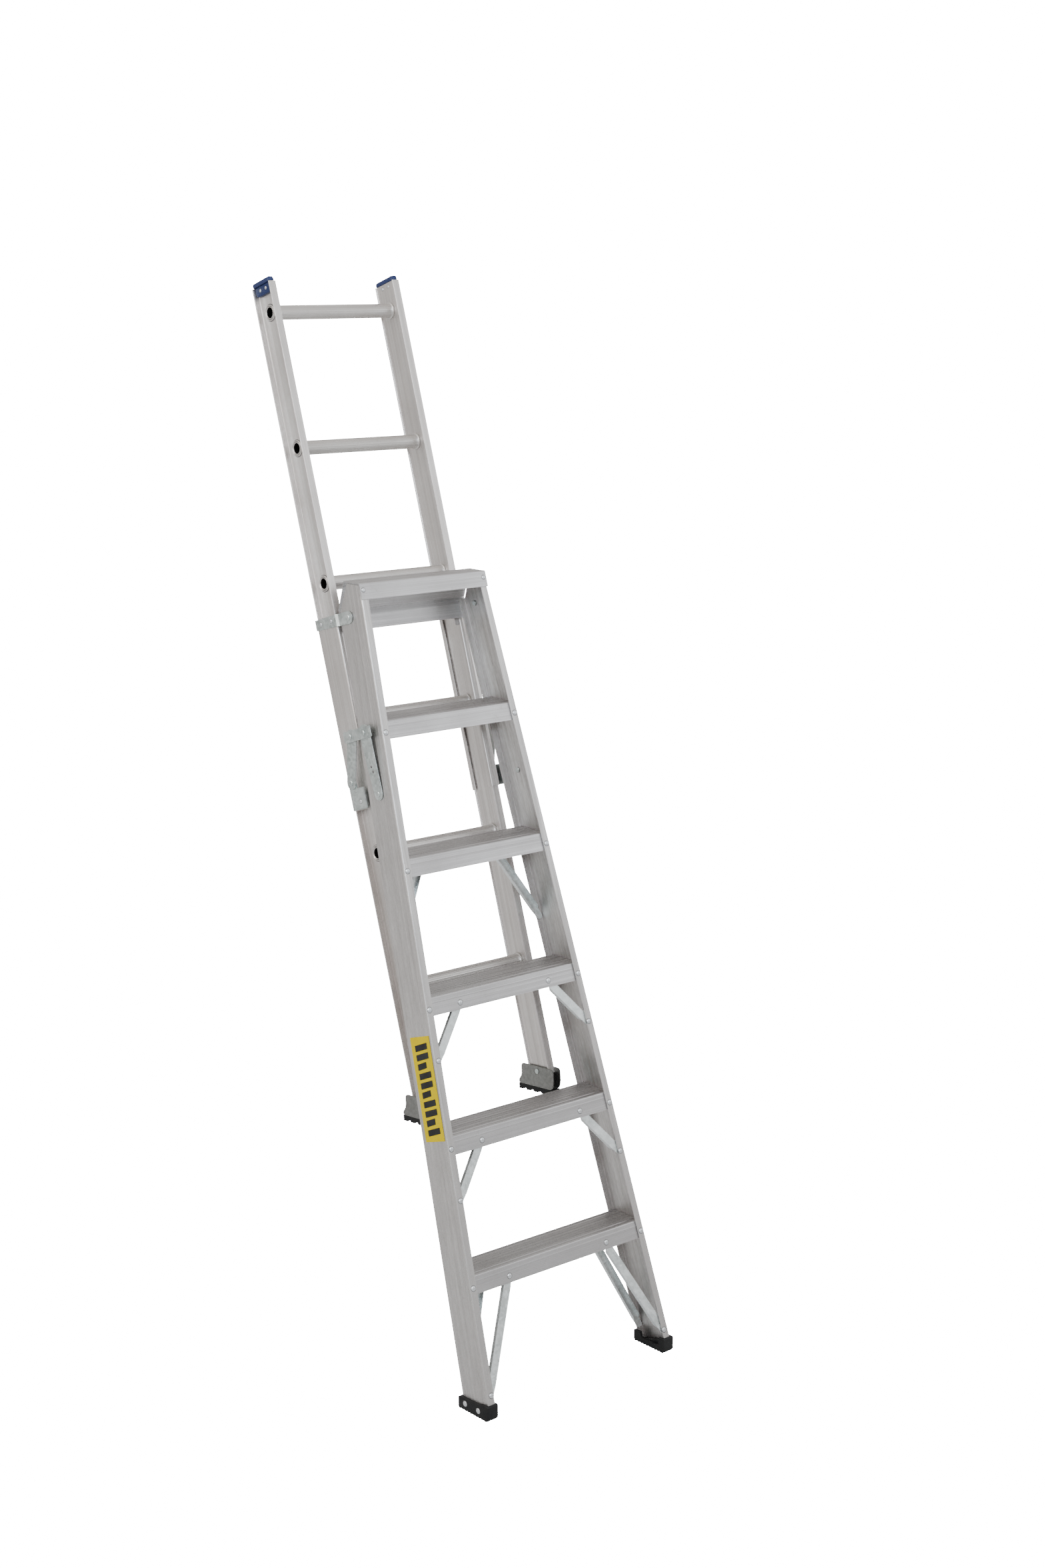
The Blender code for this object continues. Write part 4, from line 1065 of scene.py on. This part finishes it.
def labelPlate(corners, lift):
    # thin slab that lies on the left rail's outer face
    outline = roundedPath(corners, 0.0012, 0.004, closed=True)
    rings = []
    for raised in (lift, lift + labelValues["thick"]):
        x = -(railFace(outline[:, 1]) + raised)
        rings.append(toWorld(stepSection, x, outline[:, 0], outline[:, 1]))
    return np.array(rings)


def makeLabel():
    # yellow plate with a column of slanting black bars, one pitch apart
    v = labelValues
    (d0, d1), (h0, h1) = v["depth"], v["height"]
    plate = sweptPiece("sideLabel", labelPlate([(d0, h0), (d1, h0), (d1, h1), (d0, h1)], v["lift"]))
    settle(plate, "step_section", "labelYellow")
    pitch = (h1 - h0 - 2 * v["margin"]) / v["bars"]
    end, slant = v["barEnd"], v["slant"]
    bars = []
    for i in range(v["bars"]):
        start = v["barStarts"][i % len(v["barStarts"])]
        low = h0 + v["margin"] + pitch * i
        high = low + pitch * v["barShare"]
        corners = [(start, low + slant), (end, low), (end, high), (start, high + slant)]
        bars.append(labelPlate(corners, v["barLift"]))
    settle(joinedPiece("sideLabelBars", bars), "step_section", "labelBlack")


makeLabel()
print("label is made")


# finishes of the solids that keep their CAD shape, by words in their names
keptLooks = {
    "brightZinc": ("brace",),
    "zincSteel": ("hinge_strap", "spreader_foot", "spreader_front_arm", "spreader_rear_arm",
                  "spreader_plate", "pin", "knee_rivet"),
    "wornSteel": ("shoe_bracket",),
    "blackRubber": ("shoe_pad",),
}
for look, words in keptLooks.items():
    for node, piece in nodes.items():
        if any(word in node for word in words):
            for slot in piece.material_slots:
                slot.material = materials[look]
print("remaining solids have their finishes")


roomValues = {
    "floor": (0.60, 0.60, 0.60),
    "sky": (1.0, 0.985, 0.97),
    "skyLow": 0.62,
    "skyHigh": 1.15,
    "backdrop": 24.0,            # brightness of the bare studio round the ladder
    "reach": 30.0,
    "aim": (0.0, 0.0, 1.1),      # where the lamps point
}
floorMesh = bpy.data.meshes.new("floor")
reach = roomValues["reach"]
floorMesh.from_pydata([(-reach, -reach, 0), (reach, -reach, 0), (reach, reach, 0), (-reach, reach, 0)], [],
                      [(0, 1, 2, 3)])
floor = bpy.data.objects.new("floor", floorMesh)
bpy.context.collection.objects.link(floor)
floorMaterial = bpy.data.materials.new("paleFloor")
floorMaterial.use_nodes = True
floorTree = floorMaterial.node_tree
floorShader = floorTree.nodes["Principled BSDF"]
floorShader.inputs["Base Color"].default_value = (*roomValues["floor"], 1.0)
floorShader.inputs["Roughness"].default_value = 0.9
floorShader.inputs["Specular IOR Level"].default_value = 0.1
floorRay = newNode(floorTree, "ShaderNodeLightPath").outputs["Is Camera Ray"]
floorGlow = rangeOf(floorTree, floorRay, 0.0, roomValues["backdrop"])
floorTree.links.new(floorGlow, floorShader.inputs["Emission Strength"])
floorShader.inputs["Emission Color"].default_value = (1.0, 1.0, 1.0, 1.0)
floorMesh.materials.append(floorMaterial)

world = bpy.data.worlds.new("studio")
bpy.context.scene.world = world
world.use_nodes = True
skyTree = world.node_tree
background = skyTree.nodes["Background"]
background.inputs["Color"].default_value = (*roomValues["sky"], 1.0)
skyRay = newNode(skyTree, "ShaderNodeLightPath").outputs["Is Camera Ray"]
skyPlace = newNode(skyTree, "ShaderNodeTexCoord").outputs["Generated"]
skyUp = newNode(skyTree, "ShaderNodeSeparateXYZ", Vector=skyPlace).outputs["Z"]
skySlope = newNode(skyTree, "ShaderNodeMapRange", Value=skyUp, From_Min=-0.1, From_Max=0.8,
                   To_Min=roomValues["skyLow"], To_Max=roomValues["skyHigh"]).outputs[0]
skyLevel = rangeOf(skyTree, skyRay, skySlope, roomValues["backdrop"])
skyTree.links.new(skyLevel, background.inputs["Strength"])

lamps = {
    # name: place, size, power, colour
    "keyLight": ((-1.2, -4.4, 4.2), 2.4, 200.0, (0.80, 0.90, 1.0)),
    "fillLight": ((3.6, -2.6, 2.6), 2.4, 35.0, (0.90, 0.95, 1.0)),
    "sideLight": ((-4.6, 0.4, 3.6), 2.4, 130.0, (1.0, 0.97, 0.94)),
}
for name, (place, size, power, colour) in lamps.items():
    lampData = bpy.data.lights.new(name, "AREA")
    lampData.size = size
    lampData.energy = power
    lampData.color = colour
    lamp = bpy.data.objects.new(name, lampData)
    lamp.location = place
    aim = np.array(roomValues["aim"]) - np.array(place)
    lamp.rotation_euler = (math.atan2(math.hypot(aim[0], aim[1]), -aim[2]), 0.0, math.atan2(-aim[0], aim[1]))
    bpy.context.collection.objects.link(lamp)
print("room is lit")
